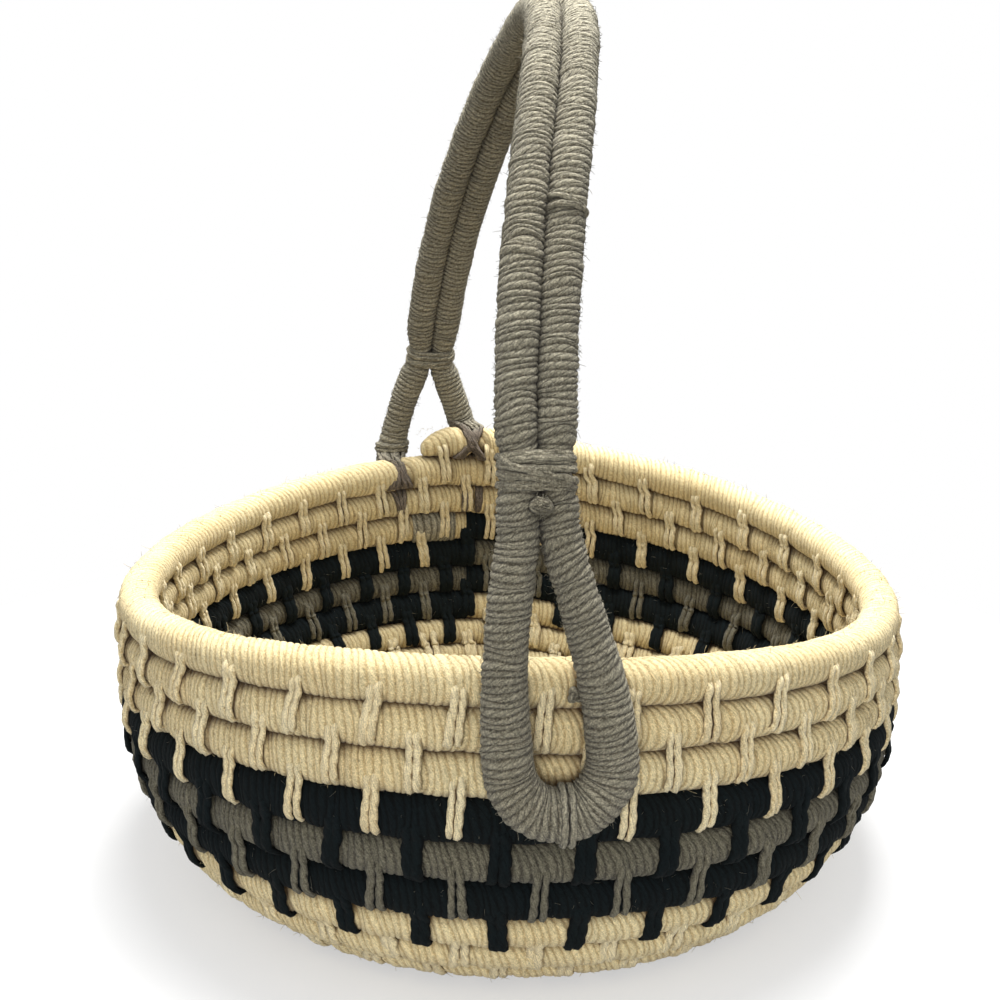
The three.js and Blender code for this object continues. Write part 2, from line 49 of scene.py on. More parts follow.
# Bowl, in millimetres, as in the basket's own model
ROW_PITCH = 12.0
BASE_RADIUS = 95.4
WALL_LEAN = (0, 22, 45, 60, 67, 75, 86, 90, 91, 93)
OVALNESS = 0.064               # of the rim: it is narrower by this share from front to back
SADDLE = 6.7                   # the rim dips by this at its left and right, and rises at front and back
RIGHT_DROP = 1.5               # its right side is lower by this, and its left side higher
MIDDLE_ROWS = 0.15
FIRST_PLACE = 0.39
SEAM_ANGLE = 64                # where each turn of the coil starts
CLIMB_ANGLE = 43.8             # past the seam, where the cord climbs faster to the next row
CLIMB_SHARE = 0.5              # of its climb that it makes there
EVEN_TURNS = 2                 # the first turns climb evenly
MERGE_TURNS = 5                # over these the climb moves to its place past the seam
BASE_HEIGHT = 4.6
BASE_TURNS = 8
LAST_TURN = BASE_TURNS + 9
CHANGE_PART = 0.0975           # of a turn past the seam, where the yarn changes colour
AXIS = np.array([0, 1.61, 0])  # where the bowl's own axis stands in the frame

# Places along the coil, in turns, where the yarn changes colour or a mesh is split
LOWER_BLACK = BASE_TURNS + 3 + CHANGE_PART
GREY_PLACE = BASE_TURNS + 4 + CHANGE_PART
UPPER_BLACK = BASE_TURNS + 5 + CHANGE_PART
RIM = BASE_TURNS + 6 + CHANGE_PART
TOP_ROW = BASE_TURNS + 8 + CHANGE_PART
LAST_PLACE = LAST_TURN + CLIMB_ANGLE / 360

# Handle
STRAND_OFFSET = 5.3            # of each strand from the middle line
HANDLE_OFFSET = 11.33          # of the handle's middle from the wall cord's middle
FRONT_ANGLE = -84.5
BACK_ANGLE = 105.5
ARCH_HEIGHT = 183.2
ARCH_SHOULDER = 1.05
ARCH_CROWN = 1.17
ARCH_LEAN = 22.1
ARCH_BOW = 23
ARCH_TWIST = 4.7
FOOT_RISE = -0.7
FRONT_LOOP = dict(radius=14.3, split=44, drop=30.5, slant=0.1)
BACK_LOOP = dict(radius=19.5, split=50, drop=30.5, slant=0.02)
FRONT_BINDING_RISE = 60.8
BACK_BINDING_RISE = 55
TIE_ALONG = 0.257

# Yarn
YARN_PITCH = 2.25              # one turn of the wrapping to the next
HANDLE_PITCH = 1.95            # the same on the handle
COIL_RADIUS = 6.1              # over the yarn
ROW_PRESS = 0.35               # of each row of the wall into the next
BASE_PRESS = 0.75              # the same in the base
HANDLE_RADIUS = 5.75
LOOP_SWELL = 1.6               # the handle's cord is this much thicker in its end loops
YARN_LEAN = 3.0                # of each turn of yarn, forward on the coil's outside, back inside
BINDING_REACH = 6.0            # along the handle, from a binding's middle
BINDING_SQUEEZE = 1.5          # off the strands' radius, and off their offset, under a binding
NOSE_LENGTH = 13               # the wrapped end of the rim narrows over this length
STITCHES_PER_TURN = 35.5       # half a stitch over a whole number, so that rows stagger
STITCH_PHASE = 0.25
LEAST_STITCH_STEP = 17         # millimetres between stitches on the base
CROWD_ANGLE = 80               # about here, at the back, the stitches stand closer together
CROWD_REACH = 45               # degrees to either side of it
CROWD_SHIFT = 0.75             # of a step, by which they are drawn there
STITCH_PULL = 0.9              # into the row that a stitch ends on
UPPER_PULL = 0.35              # into the row that it comes from
PULL_REACH = 3.0               # along the cord, to either side of a stitch
BETWEEN_SWELL = 0.4            # of the cord, between its stitches
PINCH_DEPTH = 2.6              # of the cord, under a lashing
PINCH_REACH = 3.6              # along the cord, to either side of a lashing's middle
CORE_RADIUS = 3.4
TWIST_ALONG = 0.25             # turns of the plies about each other for a yarn's width along it
TWIST_ACROSS = -1.0            # the same from one side of the yarn to the other
PLY_LENGTH = 9.0               # along a yarn, for one turn of its plies
YARN_STEP = 64                 # of v in the UV map, from the start of one loose yarn to the next one's
BOWL_MIDDLE = (0, 1.61, 100)   # what the bowl's inside faces, for the painted shade on the yarn inside
LEFT_LASHING = 1.5             # to the right of the handle's left back leg, as seen from the front
RIGHT_LASHING = 4.0


def smoothstep(x):
    return x * x * (3 - 2 * x)


def unit(v):
    return v / np.linalg.norm(v, axis=-1, keepdims=True)


def square_to(line, v):
    """Unit vectors along the part of v that is square to the line's direction."""
    return unit(v - (v * line).sum(-1, keepdims=True) * line)


def mixed(a, b, share):
    return a * (1 - share) + b * share


def distances(points):
    """How far along its line each point is, for one line or an array of them."""
    steps = np.linalg.norm(np.diff(points, axis=-2), axis=-1)
    return np.concatenate([np.zeros_like(steps[..., :1]), np.cumsum(steps, -1)], -1)


def interp_points(x, at, points):
    return np.stack([np.interp(x, at, column) for column in points.T], -1)


def curve_point(t, p0, p1, p2, p3):
    """A point between p1 and p2, at share t, of the smooth curve through all four."""
    return 0.5 * (2 * p1 + (p2 - p0) * t + (2 * p0 - 5 * p1 + 4 * p2 - p3) * t ** 2
                  + (3 * p1 - 3 * p2 + p3 - p0) * t ** 3)


# The bowl's wall and the coil's way round it
PROFILE_STEPS = 16             # a row
BASE_ROWS = BASE_RADIUS / ROW_PITCH


def make_profile():
    rows = (np.arange((LAST_TURN + 2) * PROFILE_STEPS) + 0.5) / PROFILE_STEPS
    place = np.clip(rows - BASE_ROWS + 0.5, 0, len(WALL_LEAN) - 1)
    lean = np.radians(np.interp(place, np.arange(len(WALL_LEAN)), WALL_LEAN))
    step = ROW_PITCH / PROFILE_STEPS
    radius = np.concatenate([[0], np.cumsum(step * np.cos(lean))])
    height = np.concatenate([[0], np.cumsum(step * np.sin(lean))])
    return np.arange(len(radius)) / PROFILE_STEPS, radius, height


PROFILE_ROWS, PROFILE_RADIUS, PROFILE_HEIGHT = make_profile()
WALL_HEIGHT = np.interp(LAST_TURN, PROFILE_ROWS, PROFILE_HEIGHT)


def bowl_point(row, angle):
    """Points of the wall's middle surface about the bowl's own axis, for arrays of rows and angles."""
    radius = np.interp(row, PROFILE_ROWS, PROFILE_RADIUS)
    height = np.interp(row, PROFILE_ROWS, PROFILE_HEIGHT)
    rise = height / WALL_HEIGHT
    sag = SADDLE * np.cos(2 * angle) + RIGHT_DROP * np.cos(angle)
    return np.stack([
        radius * np.cos(angle),
        radius * np.sin(angle) * (1 - OVALNESS * rise),
        BASE_HEIGHT + height - sag * rise,
    ], -1)


def row_at(turns):
    turn = np.floor(turns)
    part = turns - turn
    quick = smoothstep(np.clip(part * 360 / CLIMB_ANGLE, 0, 1))
    weight = CLIMB_SHARE * np.clip((turn - EVEN_TURNS) / MERGE_TURNS, 0, 1)
    return MIDDLE_ROWS + turn + part + weight * (quick - part)


def angle_at(turns):
    return np.radians(SEAM_ANGLE) + turns * 2 * np.pi


def coil_point(turns):
    return bowl_point(row_at(turns), angle_at(turns)) + AXIS


def coil_frame(turns):
    """For places along the coil: point, direction, the way to the next row, outwards, half the pitch."""
    nudge = 0.01
    turns = np.asarray(turns, float)
    row, angle = row_at(turns), angle_at(turns)
    forward = unit(coil_point(turns + nudge) - coil_point(turns - nudge))
    across = bowl_point(row + nudge, angle) - bowl_point(row - nudge, angle)
    spacing = np.linalg.norm(across, axis=-1) / (2 * nudge)
    up = square_to(forward, across)
    return coil_point(turns), forward, up, np.cross(forward, up), spacing / 2


def stitch_places():
    """Places on the lower row of each stitch, in turns, from the first row that has one below it."""
    places = []
    for number in reversed(range(math.ceil(LAST_PLACE * STITCHES_PER_TURN))):
        turns = (number + STITCH_PHASE) / STITCHES_PER_TURN
        angle = math.degrees(angle_at(turns)) % 360
        turns += CROWD_SHIFT * math.exp(-((angle - CROWD_ANGLE) / CROWD_REACH) ** 2) / STITCHES_PER_TURN
        if not 1 <= turns <= LAST_PLACE - 1:
            continue
        around = 2 * math.pi * np.interp(row_at(turns), PROFILE_ROWS, PROFILE_RADIUS)
        crowded = around / STITCHES_PER_TURN < LEAST_STITCH_STEP * 0.9
        if places and crowded and (places[-1] - turns) * around < LEAST_STITCH_STEP:
            continue
        places.append(turns)
    return np.array(places[::-1])


def wander(length, knot, seed, size):
    """A smooth random function on 0..length, through random values a knot apart."""
    values = np.random.default_rng(seed).normal(size=max(int(length / knot), 2) + 3) * size

    def at(x):
        place = np.clip(np.asarray(x, float) / knot, 0, len(values) - 2.001)
        low = np.floor(place).astype(int)
        return mixed(values[low], values[low + 1], smoothstep(place - low))

    return at


# Meshes
def new_object(name, vertices, quads, triangles, ngons, uv):
    """A smooth mesh from arrays in millimetres. uv has a pair for each corner of the quads and the
    triangles, in order, and the ngons, a cord's ends, lie on one place of the yarn."""
    vertices = np.asarray(vertices, np.float32) * MM
    sizes = [4] * len(quads) + [3] * len(triangles) + [len(ngon) for ngon in ngons]
    sizes = np.array(sizes, np.int32)
    loops = np.concatenate([np.ravel(quads), np.ravel(triangles), *ngons]).astype(np.int32)
    mesh = bpy.data.meshes.new(name)
    mesh.vertices.add(len(vertices))
    mesh.vertices.foreach_set("co", vertices.ravel())
    mesh.loops.add(len(loops))
    mesh.loops.foreach_set("vertex_index", loops)
    mesh.polygons.add(len(sizes))
    mesh.polygons.foreach_set("loop_start", (np.cumsum(sizes) - sizes).astype(np.int32))
    mesh.polygons.foreach_set("use_smooth", np.ones(len(sizes), bool))
    full = np.full((len(loops), 2), 0.5, np.float32)
    full[:len(uv)] = uv
    mesh.uv_layers.new(name="yarn").data.foreach_set("uv", full.ravel())
    mesh.update(calc_edges=True)
    return link_object(name, mesh)


def link_object(name, data):
    obj = bpy.data.objects.new(name, data)
    bpy.context.scene.collection.objects.link(obj)
    return obj


class Path:
    """A sampled line that gives its point, frame and half widths at any distance along it."""

    def __init__(self, points, forward, up, out, half_up, half_out):
        self.at = distances(points)
        self.length = self.at[-1]
        self.columns = [points, forward, up, out, half_up, half_out]

    def __call__(self, s):
        place = np.interp(s, self.at, np.arange(len(self.at)))
        low = np.clip(np.floor(place).astype(int), 0, len(self.at) - 2)
        share = place - low
        return [mixed(column[low], column[low + 1], share[..., None] if column.ndim > 1 else share)
                for column in self.columns]


def wrapped_cord(name, path, lanes, sides, seed, ridge, lean=0.0, mess=1.0, dents=None, taper=None, bulk=2.0,
                 plies=0.0, yarn=YARN_PITCH):
    """A cord under a helix of rounded yarn ridges, between two flat ends. The mesh follows the helix:
    each ring of points winds once round the cord while it moves one turn of yarn along it. With bulk
    over 2 the cord's section is a little squarer than a circle, and plies is how far each yarn's plies
    stand out."""
    length = path.length
    turns = int(round(length / yarn))
    pitch = length / turns
    lane_count = (turns + 1) * lanes
    lane, side = np.meshgrid(np.arange(lane_count + 1), np.arange(sides), indexing="ij")
    raw = (lane / lanes + side / sides - 1) * pitch
    s = np.clip(raw, 0, length)
    angle = math.pi + side * 2 * np.pi / sides
    # Each turn of yarn has its own small shift, tilt and height.
    shift = wander(length, 1.3 * pitch, seed, 0.11 * mess * pitch)
    tilts = [wander(length, 2 * pitch, seed + 1 + i, 0.15 * mess * pitch) for i in range(3)]
    swells = [wander(length, 1.05 * pitch, seed + 4 + i, 0.07 * mess) for i in range(3)]
    lump = wander(length, 9 * pitch, seed + 7, 0.1 * mess)
    inner = smoothstep(np.clip(np.minimum(s, length - s) / (4 * pitch), 0, 1))
    waves = np.cos(angle), np.sin(angle), np.cos(2 * angle + 0.3 * s)
    drift = lean * waves[1] + shift(s) + sum(tilt(s) * wave for tilt, wave in zip(tilts, waves))
    point, forward, up, out, half_up, half_out = path(np.clip(s + inner * drift, 0, length))
    phase = (s / pitch - side / sides) % 1
    bulge = np.sqrt(np.clip(1 - (2 * phase - 1) ** 2, 0, 1))
    swell = sum(swell(s) * wave for swell, wave in zip(swells, (1, *waves[:2])))
    height = ridge * (bulge - 0.8) + inner * swell + lump(s)
    # Along the yarn itself, in its widths, turn after turn; its plies are twisted a little unevenly.
    around = 2 * math.pi * float(np.mean(half_out)) / yarn / sides
    yarn_length = (turns + 2) * around * sides
    uneven = wander(yarn_length, 6, seed + 8, 1.3)

    def along_yarn(lane, side):
        place = (lane // lanes * sides + side) * around
        return place + uneven(place)

    across = np.arcsin(2 * (lane / lanes % 1) - 1) / np.pi + 0.5
    twist = TWIST_ALONG * along_yarn(lane, side) + TWIST_ACROSS * across
    height = height + plies * bulge * (abs(np.sin(2 * np.pi * twist)) ** 0.7 - 0.7)
    if dents is not None:
        height = height + dents(s, angle)
    scale = (abs(np.cos(angle)) ** bulk + abs(np.sin(angle)) ** bulk) ** (-1 / bulk)
    if taper is not None:
        scale = scale * taper(s, length)
    vertices = point + up * ((half_up + height) * scale * np.cos(angle))[..., None]
    vertices += out * ((half_out + height) * scale * np.sin(angle))[..., None]
    # Where the helix would pass an end, its points merge into the flat end's ring.
    index = np.arange(lane.size).reshape(lane.shape)
    columns = np.arange(sides)
    start_ring = index[np.maximum((raw <= 0).sum(0) - 1, 0), columns]
    end_ring = index[np.minimum((raw < length).sum(0), lane_count), columns]
    merged = np.where(raw <= 0, start_ring, np.where(raw >= length, end_ring, index))
    quads, corners = [], []
    low = np.arange(lane_count)
    for j in range(sides):
        k = (j + 1) % sides
        jump = lanes if k == 0 else 0
        near, far = np.minimum(low + jump, lane_count), np.minimum(low + 1 + jump, lane_count)
        quads.append(np.stack([merged[low, j], merged[near, k], merged[far, k], merged[low + 1, j]], -1))
        u, v = (low / lanes, (low + 1) / lanes), (along_yarn(low, j), along_yarn(low, j + 1))
        corners.append(np.stack([np.stack([u[a], v[b]], -1) for a, b in ((0, 0), (0, 1), (1, 1), (1, 0))], 1))
    quads, corners = np.concatenate(quads), np.concatenate(corners)
    # Faces with two merged corners are triangles, and those with more are none.
    same = quads == np.roll(quads, -1, 1)
    thin = same.sum(1) == 1
    whole = ~same.any(1)
    triangles = quads[thin][~same[thin]].reshape(-1, 3)
    uv = np.concatenate([corners[whole].reshape(-1, 2), corners[thin][~same[thin]].reshape(-1, 2)])
    quads = quads[whole]
    used = np.zeros(index.size, bool)
    for faces in (quads, triangles, start_ring, end_ring):
        used[faces.ravel()] = True
    number = np.cumsum(used) - 1
    vertices = vertices.reshape(-1, 3)[used]
    vertices[:, 2] = np.maximum(vertices[:, 2], 0)
    ends = [number[start_ring][::-1], number[end_ring]]
    return new_object(name, vertices, number[quads], number[triangles], ends, uv)


def tubes(name, lines, across, normal, width, thick, sides=8, grain=1.0):
    """Closed tubes along many lines of equal point count. across and normal are unit arrays at each
    point, and width and thick the half sizes there."""
    count, steps = lines.shape[:2]
    width, thick = (np.broadcast_to(size, (count, steps))[..., None] for size in (width, thick))
    angle = np.arange(sides) * 2 * np.pi / sides
    rings = lines[:, :, None] + across[:, :, None] * (width * np.cos(angle))[..., None]
    rings = rings + normal[:, :, None] * (thick * np.sin(angle))[..., None]
    rings[..., 2] = np.maximum(rings[..., 2], 0)
    index = np.arange(rings[..., 0].size).reshape(count, steps, sides)
    v = distances(lines) * grain / YARN_PITCH + np.arange(count)[:, None] * YARN_STEP
    u = 0.5 + 0.42 * np.cos(angle)
    both = np.stack(np.broadcast_arrays(u, v[..., None]), -1)

    def corners(grid):
        """For each quad, what its four corners have in a grid that holds something for each point."""
        turned = np.roll(grid, -1, 2)
        return np.stack([grid[:, :-1], turned[:, :-1], turned[:, 1:], grid[:, 1:]], 3)

    quads, uv = corners(index).reshape(-1, 4), corners(both).reshape(-1, 2)
    ends = np.concatenate([index[:, 0, ::-1], index[:, -1]])
    triangles, ngons = (ends, ()) if sides == 3 else ((), ends)
    return new_object(name, rings.reshape(-1, 3), quads, triangles, ngons, uv)


def plied(name, lines, across, normal, width, thick, seed, steps, sides=5):
    """Two plies that twist round each other along each line, as tubes."""
    count, given = lines.shape[:2]
    place = np.linspace(0, given - 1, steps)
    low = np.clip(place.astype(int), 0, given - 2)
    share = place - low
    t = share[None, :, None]
    line = curve_point(t, *(lines[:, np.clip(low + i, 0, given - 1)] for i in (-1, 0, 1, 2)))
    along = unit(np.gradient(line, axis=1))
    sideways = square_to(along, mixed(across[:, low], across[:, low + 1], t))
    outwards = np.cross(along, sideways)
    # The line's own way out may lie on either side.
    towards = (outwards * mixed(normal[:, low], normal[:, low + 1], t)).sum(-1, keepdims=True)
    outwards = np.where(towards < 0, -outwards, outwards)
    handed = np.sign((np.cross(sideways, outwards) * along).sum(-1))
    sizes = [np.broadcast_to(size, (count, given)) for size in (width, thick)]
    half_width, half_thick = (mixed(size[:, low], size[:, low + 1], share) for size in sizes)
    start = np.random.default_rng(seed).random((count, 1)) * 2 * np.pi
    parts = []
    for ply in (0, 1):
        turn = start + ply * np.pi - handed * distances(line) * 2 * np.pi / PLY_LENGTH
        parts.append(line + sideways * (0.2 * half_width * np.cos(turn))[..., None]
                     + outwards * (0.2 * half_thick * np.sin(turn))[..., None])
    twice = [np.concatenate([a, a]) for a in (sideways * handed[..., None], outwards)]
    sizes = [0.86 * np.concatenate([a, a]) for a in (half_width, half_thick)]
    return tubes(name, np.concatenate(parts), *twice, *sizes, sides, 0.3)


# Materials
class Shader:
    """The node tree of a new material or world, with short ways to add nodes."""

    def __init__(self, owner):
        owner.use_nodes = True
        self.owner = owner
        self.tree = owner.node_tree
        self.principled = self.tree.nodes.get("Principled BSDF")

    def link(self, source, target):
        self.tree.links.new(source, target)

    def feed(self, socket, value):
        if isinstance(value, bpy.types.NodeSocket):
            self.link(value, socket)
        else:
            socket.default_value = value

    def node(self, kind, *values, **settings):
        """A node with its settings, and values or links for its first sockets."""
        made = self.tree.nodes.new(kind)
        for name, value in settings.items():
            setattr(made, name, value)
        for socket, value in zip(made.inputs, values):
            self.feed(socket, value)
        return made

    def fill(self, made, values):
        for name, value in values.items():
            self.feed(made.inputs[name], value)

    def math(self, operation, *values):
        return self.node("ShaderNodeMath", *values, operation=operation).outputs[0]

    def product(self, first, *others):
        for other in others:
            first = self.math("MULTIPLY", first, other)
        return first

    def vector_math(self, operation, *values):
        made = self.node("ShaderNodeVectorMath", *values, operation=operation)
        return made.outputs["Value" if operation in ("DOT_PRODUCT", "LENGTH") else "Vector"]

    def noise(self, vector, scale, detail=2.0, roughness=0.5):
        made = self.node("ShaderNodeTexNoise")
        self.fill(made, {"Vector": vector, "Scale": scale, "Detail": detail, "Roughness": roughness})
        return made.outputs["Fac"]

    def span(self, value, low, high, to_low=0.0, to_high=1.0):
        """The value's place from low to high, as a number from to_low to to_high."""
        return self.node("ShaderNodeMapRange", value, low, high, to_low, to_high).outputs[0]

    def mix(self, share, first, second, blend="MIX"):
        made = self.node("ShaderNodeMix", data_type="RGBA", blend_type=blend)
        self.feed(made.inputs["Factor"], share)
        for socket, colour in zip((s for s in made.inputs if s.type == "RGBA"), (first, second)):
            self.feed(socket, colour)
        return next(socket for socket in made.outputs if socket.type == "RGBA")


def yarn_material(name, crest, groove_shade, patch, sheen, fibre=0.25, bump=0.5, ply=0.3, crease_shade=(0.3, 0.2, 0.1, 1),
                  grain=1500, shade=3.0, deep=0.42, start=None, inside=1.0):
    """Plied yarn: u counts the turns of yarn and v runs along it, both in yarn widths. Between its turns the
    colour goes to the groove colour, a painted shade. Rows closer than shade, in mm, darken it towards the
    crease colour as painted shade, up to an openness of deep. Colour start is that of a yarn's first few
    widths, and inside is how light the yarn on the bowl's inside is painted against the rest, a painted
    shade."""
    shader = Shader(bpy.data.materials.new(name))
    uv = shader.node("ShaderNodeUVMap", uv_map="yarn").outputs[0]
    u, v = shader.node("ShaderNodeSeparateXYZ", uv).outputs[:2]
    coordinates = shader.node("ShaderNodeTexCoord").outputs
    place = coordinates["Object"]
    turn_part = shader.math("FRACT", u)
    # From 0 between two turns of yarn to 1 on the crest of one
    from_middle = shader.math("ABSOLUTE", shader.math("SUBTRACT", turn_part, 0.5))
    crown = shader.math("SUBTRACT", 1.0, shader.product(from_middle, 2.0))
    wobble = shader.noise(place, 1300, 3.0, 0.65)
    crown = shader.math("ADD", crown, shader.span(wobble, 0.35, 0.65, -0.26, 0.26))
    # Two plies twist loosely round each other, with a soft shade between them, and fibres lie along them.
    across = shader.math("ARCSINE", shader.span(turn_part, 0, 1, -1, 1))
    across = shader.math("ADD", shader.product(across, 1 / math.pi), 0.5)
    twist = shader.math("ADD", shader.product(v, TWIST_ALONG), shader.product(across, TWIST_ACROSS))
    twist = shader.math("ADD", twist, shader.span(shader.noise(place, 330, 1.0), 0.3, 0.7, -0.05, 0.05))
    crossing = shader.math("ABSOLUTE", shader.math("SINE", shader.product(twist, 2 * math.pi)))
    line = shader.math("POWER", shader.math("SUBTRACT", 1.0, crossing), 2.0)
    slanted = shader.math("SUBTRACT", shader.product(u, 9.0), shader.product(v, 5.4))
    streak_place = shader.node("ShaderNodeCombineXYZ", slanted, shader.product(v, 1.5)).outputs[0]
    streaks = shader.noise(streak_place, 1.0, 4.0, 0.65)
    speckle = shader.noise(place, grain, 4.0, 0.7)
    each_turn = shader.node("ShaderNodeTexWhiteNoise", noise_dimensions="1D")
    shader.link(shader.math("FLOOR", u), each_turn.inputs["W"])
    if start:
        crest = shader.mix(shader.span(shader.math("MODULO", v, YARN_STEP), 0.9, 1.7), start, crest)
    # Painted shade: between two turns of yarn the colour goes to the darker groove colour.
    colour = shader.mix(shader.span(crown, 0.0, 0.55), groove_shade, crest)
    colour = shader.mix(shader.span(shader.noise(place, 38), 0.35, 0.7), colour, patch, "MULTIPLY")
    # Painted shade: yarn on the bowl's inside, facing its middle, is darkened by the factor inside.
    inwards = shader.vector_math("NORMALIZE", shader.vector_math("SUBTRACT", Vector(BOWL_MIDDLE) * MM, place))
    facing = shader.vector_math("DOT_PRODUCT", inwards, coordinates["Normal"])
    light = shader.product(
        shader.span(line, 0, 1, 1, 1 - ply),
        shader.span(streaks, 0.34, 0.66, 1 - fibre, 1 + fibre),
        shader.span(speckle, 0.4, 0.6, 1 - 0.8 * fibre, 1 + 0.8 * fibre),
        shader.span(each_turn.outputs["Value"], 0, 1, 0.94, 1.04),
        shader.span(facing, 0.1, 0.8, 1, inside),
    )
    grey = shader.node("ShaderNodeCombineXYZ", light, light, light).outputs[0]
    colour = shader.mix(1.0, colour, grey, "MULTIPLY")
    # Painted shade: the creases between rows and under stitches are darkened towards the crease colour by
    # ambient occlusion.
    depth = shader.node("ShaderNodeAmbientOcclusion", samples=6)
    depth.inputs["Distance"].default_value = shade * MM
    crease_shaded = shader.mix(1.0, colour, crease_shade, "MULTIPLY")
    colour = shader.mix(shader.span(depth.outputs["AO"], 0.05, deep, 1.0, 0.0), colour, crease_shaded)
    relief = shader.math("ADD", shader.product(streaks, 1.2), shader.product(speckle, 0.7))
    relief = shader.math("SUBTRACT", relief, shader.product(line, 2.4 * ply))
    bumped = shader.node("ShaderNodeBump")
    shader.fill(bumped, {"Strength": bump, "Distance": 0.35 * MM, "Height": relief})
    shader.fill(shader.principled, {
        "Base Color": colour, "Normal": bumped.outputs[0], "Roughness": 0.92, "Specular IOR Level": 0.12,
        "Sheen Weight": sheen, "Sheen Roughness": 0.5,
    })
    return shader.owner


def twisted_cord_material():
    """The soft cord inside the wraps, in diagonal strands."""
    shader = Shader(bpy.data.materials.new("core_cotton"))
    place = shader.node("ShaderNodeTexCoord").outputs["Object"]
    strands = shader.node("ShaderNodeTexWave", bands_direction="DIAGONAL")
    shader.fill(strands, {"Vector": place, "Scale": 160, "Distortion": 2})
    colour = shader.mix(strands.outputs["Fac"], (0.62, 0.58, 0.48, 1), (0.82, 0.79, 0.7, 1))
    shader.fill(shader.principled, {"Base Color": colour, "Roughness": 0.9})
    return shader.owner


# The groove and crease colours below are painted shade, and inside paints shade on the bowl's inside.
CREAM_LOOK = dict(groove_shade=(0.58, 0.44, 0.22, 1), patch=(0.94, 0.9, 0.84, 1), grain=2400, inside=0.78)
CREAM = yarn_material("cream_yarn", (0.82, 0.695, 0.405, 1), sheen=0.14, fibre=0.26, bump=0.9, ply=0.1,
                      crease_shade=(0.15, 0.08, 0.03, 1), shade=5.5, deep=0.78, **CREAM_LOOK)
CREAM_STITCH = yarn_material("cream_stitch_yarn", (0.86, 0.745, 0.47, 1), sheen=0.16, fibre=0.28, bump=1.0,
                             ply=0.2, crease_shade=(0.24, 0.13, 0.06, 1), shade=4.0, deep=0.45, **CREAM_LOOK)
BLACK = yarn_material("black_yarn", (0.005, 0.008, 0.0085, 1), (0.003, 0.004, 0.004, 1), (0.8, 0.9, 1, 1),
                      0.01, crease_shade=(0.5, 0.5, 0.5, 1))
GREY = yarn_material("grey_yarn", (0.175, 0.16, 0.112, 1), (0.08, 0.07, 0.05, 1), (0.85, 0.86, 0.88, 1), 0.08,
                     fibre=0.42, bump=0.9, ply=0.25, crease_shade=(0.3, 0.27, 0.22, 1), grain=2000, inside=0.85)
TAUPE = yarn_material("handle_yarn", (0.315, 0.29, 0.213, 1), (0.12, 0.104, 0.073, 1), (0.87, 0.86, 0.84, 1),
                      0.12, fibre=0.45, bump=1.0, ply=0.34, crease_shade=(0.13, 0.1, 0.07, 1), grain=1900,
                      shade=4.5, deep=0.58)
# Painted shade: the lashing and wrap yarns are coloured a dark brown that stands for the shade they lie in
# inside the back rim; the leg's lashings start in a lighter taupe where they leave the leg.
SHADED_LASHING_LOOK = dict(crest=(0.16, 0.13, 0.1, 1), groove_shade=(0.07, 0.056, 0.04, 1), sheen=0.08, fibre=0.5, bump=1.0,
                  ply=0.4, crease_shade=(0.25, 0.2, 0.15, 1))
SHADED_LASHING = yarn_material("lashing_yarn", patch=(0.75, 0.72, 0.7, 1), **SHADED_LASHING_LOOK)
LEG_SHADED_LASHING = yarn_material("leg_lashing_yarn", patch=(0.85, 0.83, 0.82, 1), start=(0.27, 0.245, 0.185, 1),
                          **SHADED_LASHING_LOOK)
COTTON = twisted_cord_material()


def paint(obj, material):
    obj.data.materials.clear()
    obj.data.materials.append(material)


def dress(obj, material, *nodes, slot=None):
    """Gives a piece its body and material, and hides the solids that it stands for. slot is not used."""
    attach(obj, "root")
    if nodes:
        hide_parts(*nodes)
    paint(obj, material)


# Handle's middle line
def top_turns(angle):
    part = ((angle - SEAM_ANGLE) / 360) % 1
    return LAST_TURN + part if part <= CLIMB_ANGLE / 360 else LAST_TURN - 1 + part


def wall_radius_at(angle, height):
    rows = np.linspace(BASE_ROWS, row_at(top_turns(angle)), 200)
    points = bowl_point(rows, math.radians(angle))
    return float(np.interp(height, points[:, 2], np.hypot(points[:, 0], points[:, 1])))


def round_point(angle, radius, height):
    return np.array([radius * math.cos(math.radians(angle)), radius * math.sin(math.radians(angle)), height])


def foot(angle):
    turns = top_turns(angle + (CLIMB_ANGLE / 2 if angle > 0 else 0))
    height = float(coil_point(turns)[2]) + FOOT_RISE
    return round_point(angle, wall_radius_at(angle, height) + HANDLE_OFFSET, height)


FRONT_FOOT = foot(FRONT_ANGLE)
BACK_FOOT = foot(BACK_ANGLE)
CHORD = BACK_FOOT - FRONT_FOOT
SIDEWAYS = unit(np.array([CHORD[1], -CHORD[0], 0]))


def arch_point(share):
    """The middle line of the arch, from the front foot at 0 to the back foot at 1."""
    turn = share * math.pi
    along = -math.copysign(abs(math.cos(turn)) ** ARCH_SHOULDER, math.cos(turn))
    rise = max(math.sin(turn), 0) ** ARCH_CROWN
    point = FRONT_FOOT + CHORD * (along + 1) / 2
    point[2] += ARCH_HEIGHT * rise
    point[0] += ARCH_LEAN * rise * rise - ARCH_BOW * rise * (1 - rise) + ARCH_TWIST * along * rise
    return point


def arch_share(height, from_back):
    low, high = 0.0, 0.5
    for _ in range(30):
        middle = (low + high) / 2
        share = 1 - middle if from_back else middle
        if arch_point(share)[2] - (BACK_FOOT if from_back else FRONT_FOOT)[2] < height:
            low = middle
        else:
            high = middle
    return 1 - low if from_back else low


FRONT_BINDING = arch_share(FRONT_BINDING_RISE, False)
BACK_BINDING = arch_share(BACK_BINDING_RISE, True)


def loop_point(angle, foot_point, loop, below):
    height = foot_point[2] - below
    point = round_point(angle, wall_radius_at(angle, height) + HANDLE_OFFSET, height)
    return point + SIDEWAYS * loop["slant"] * below


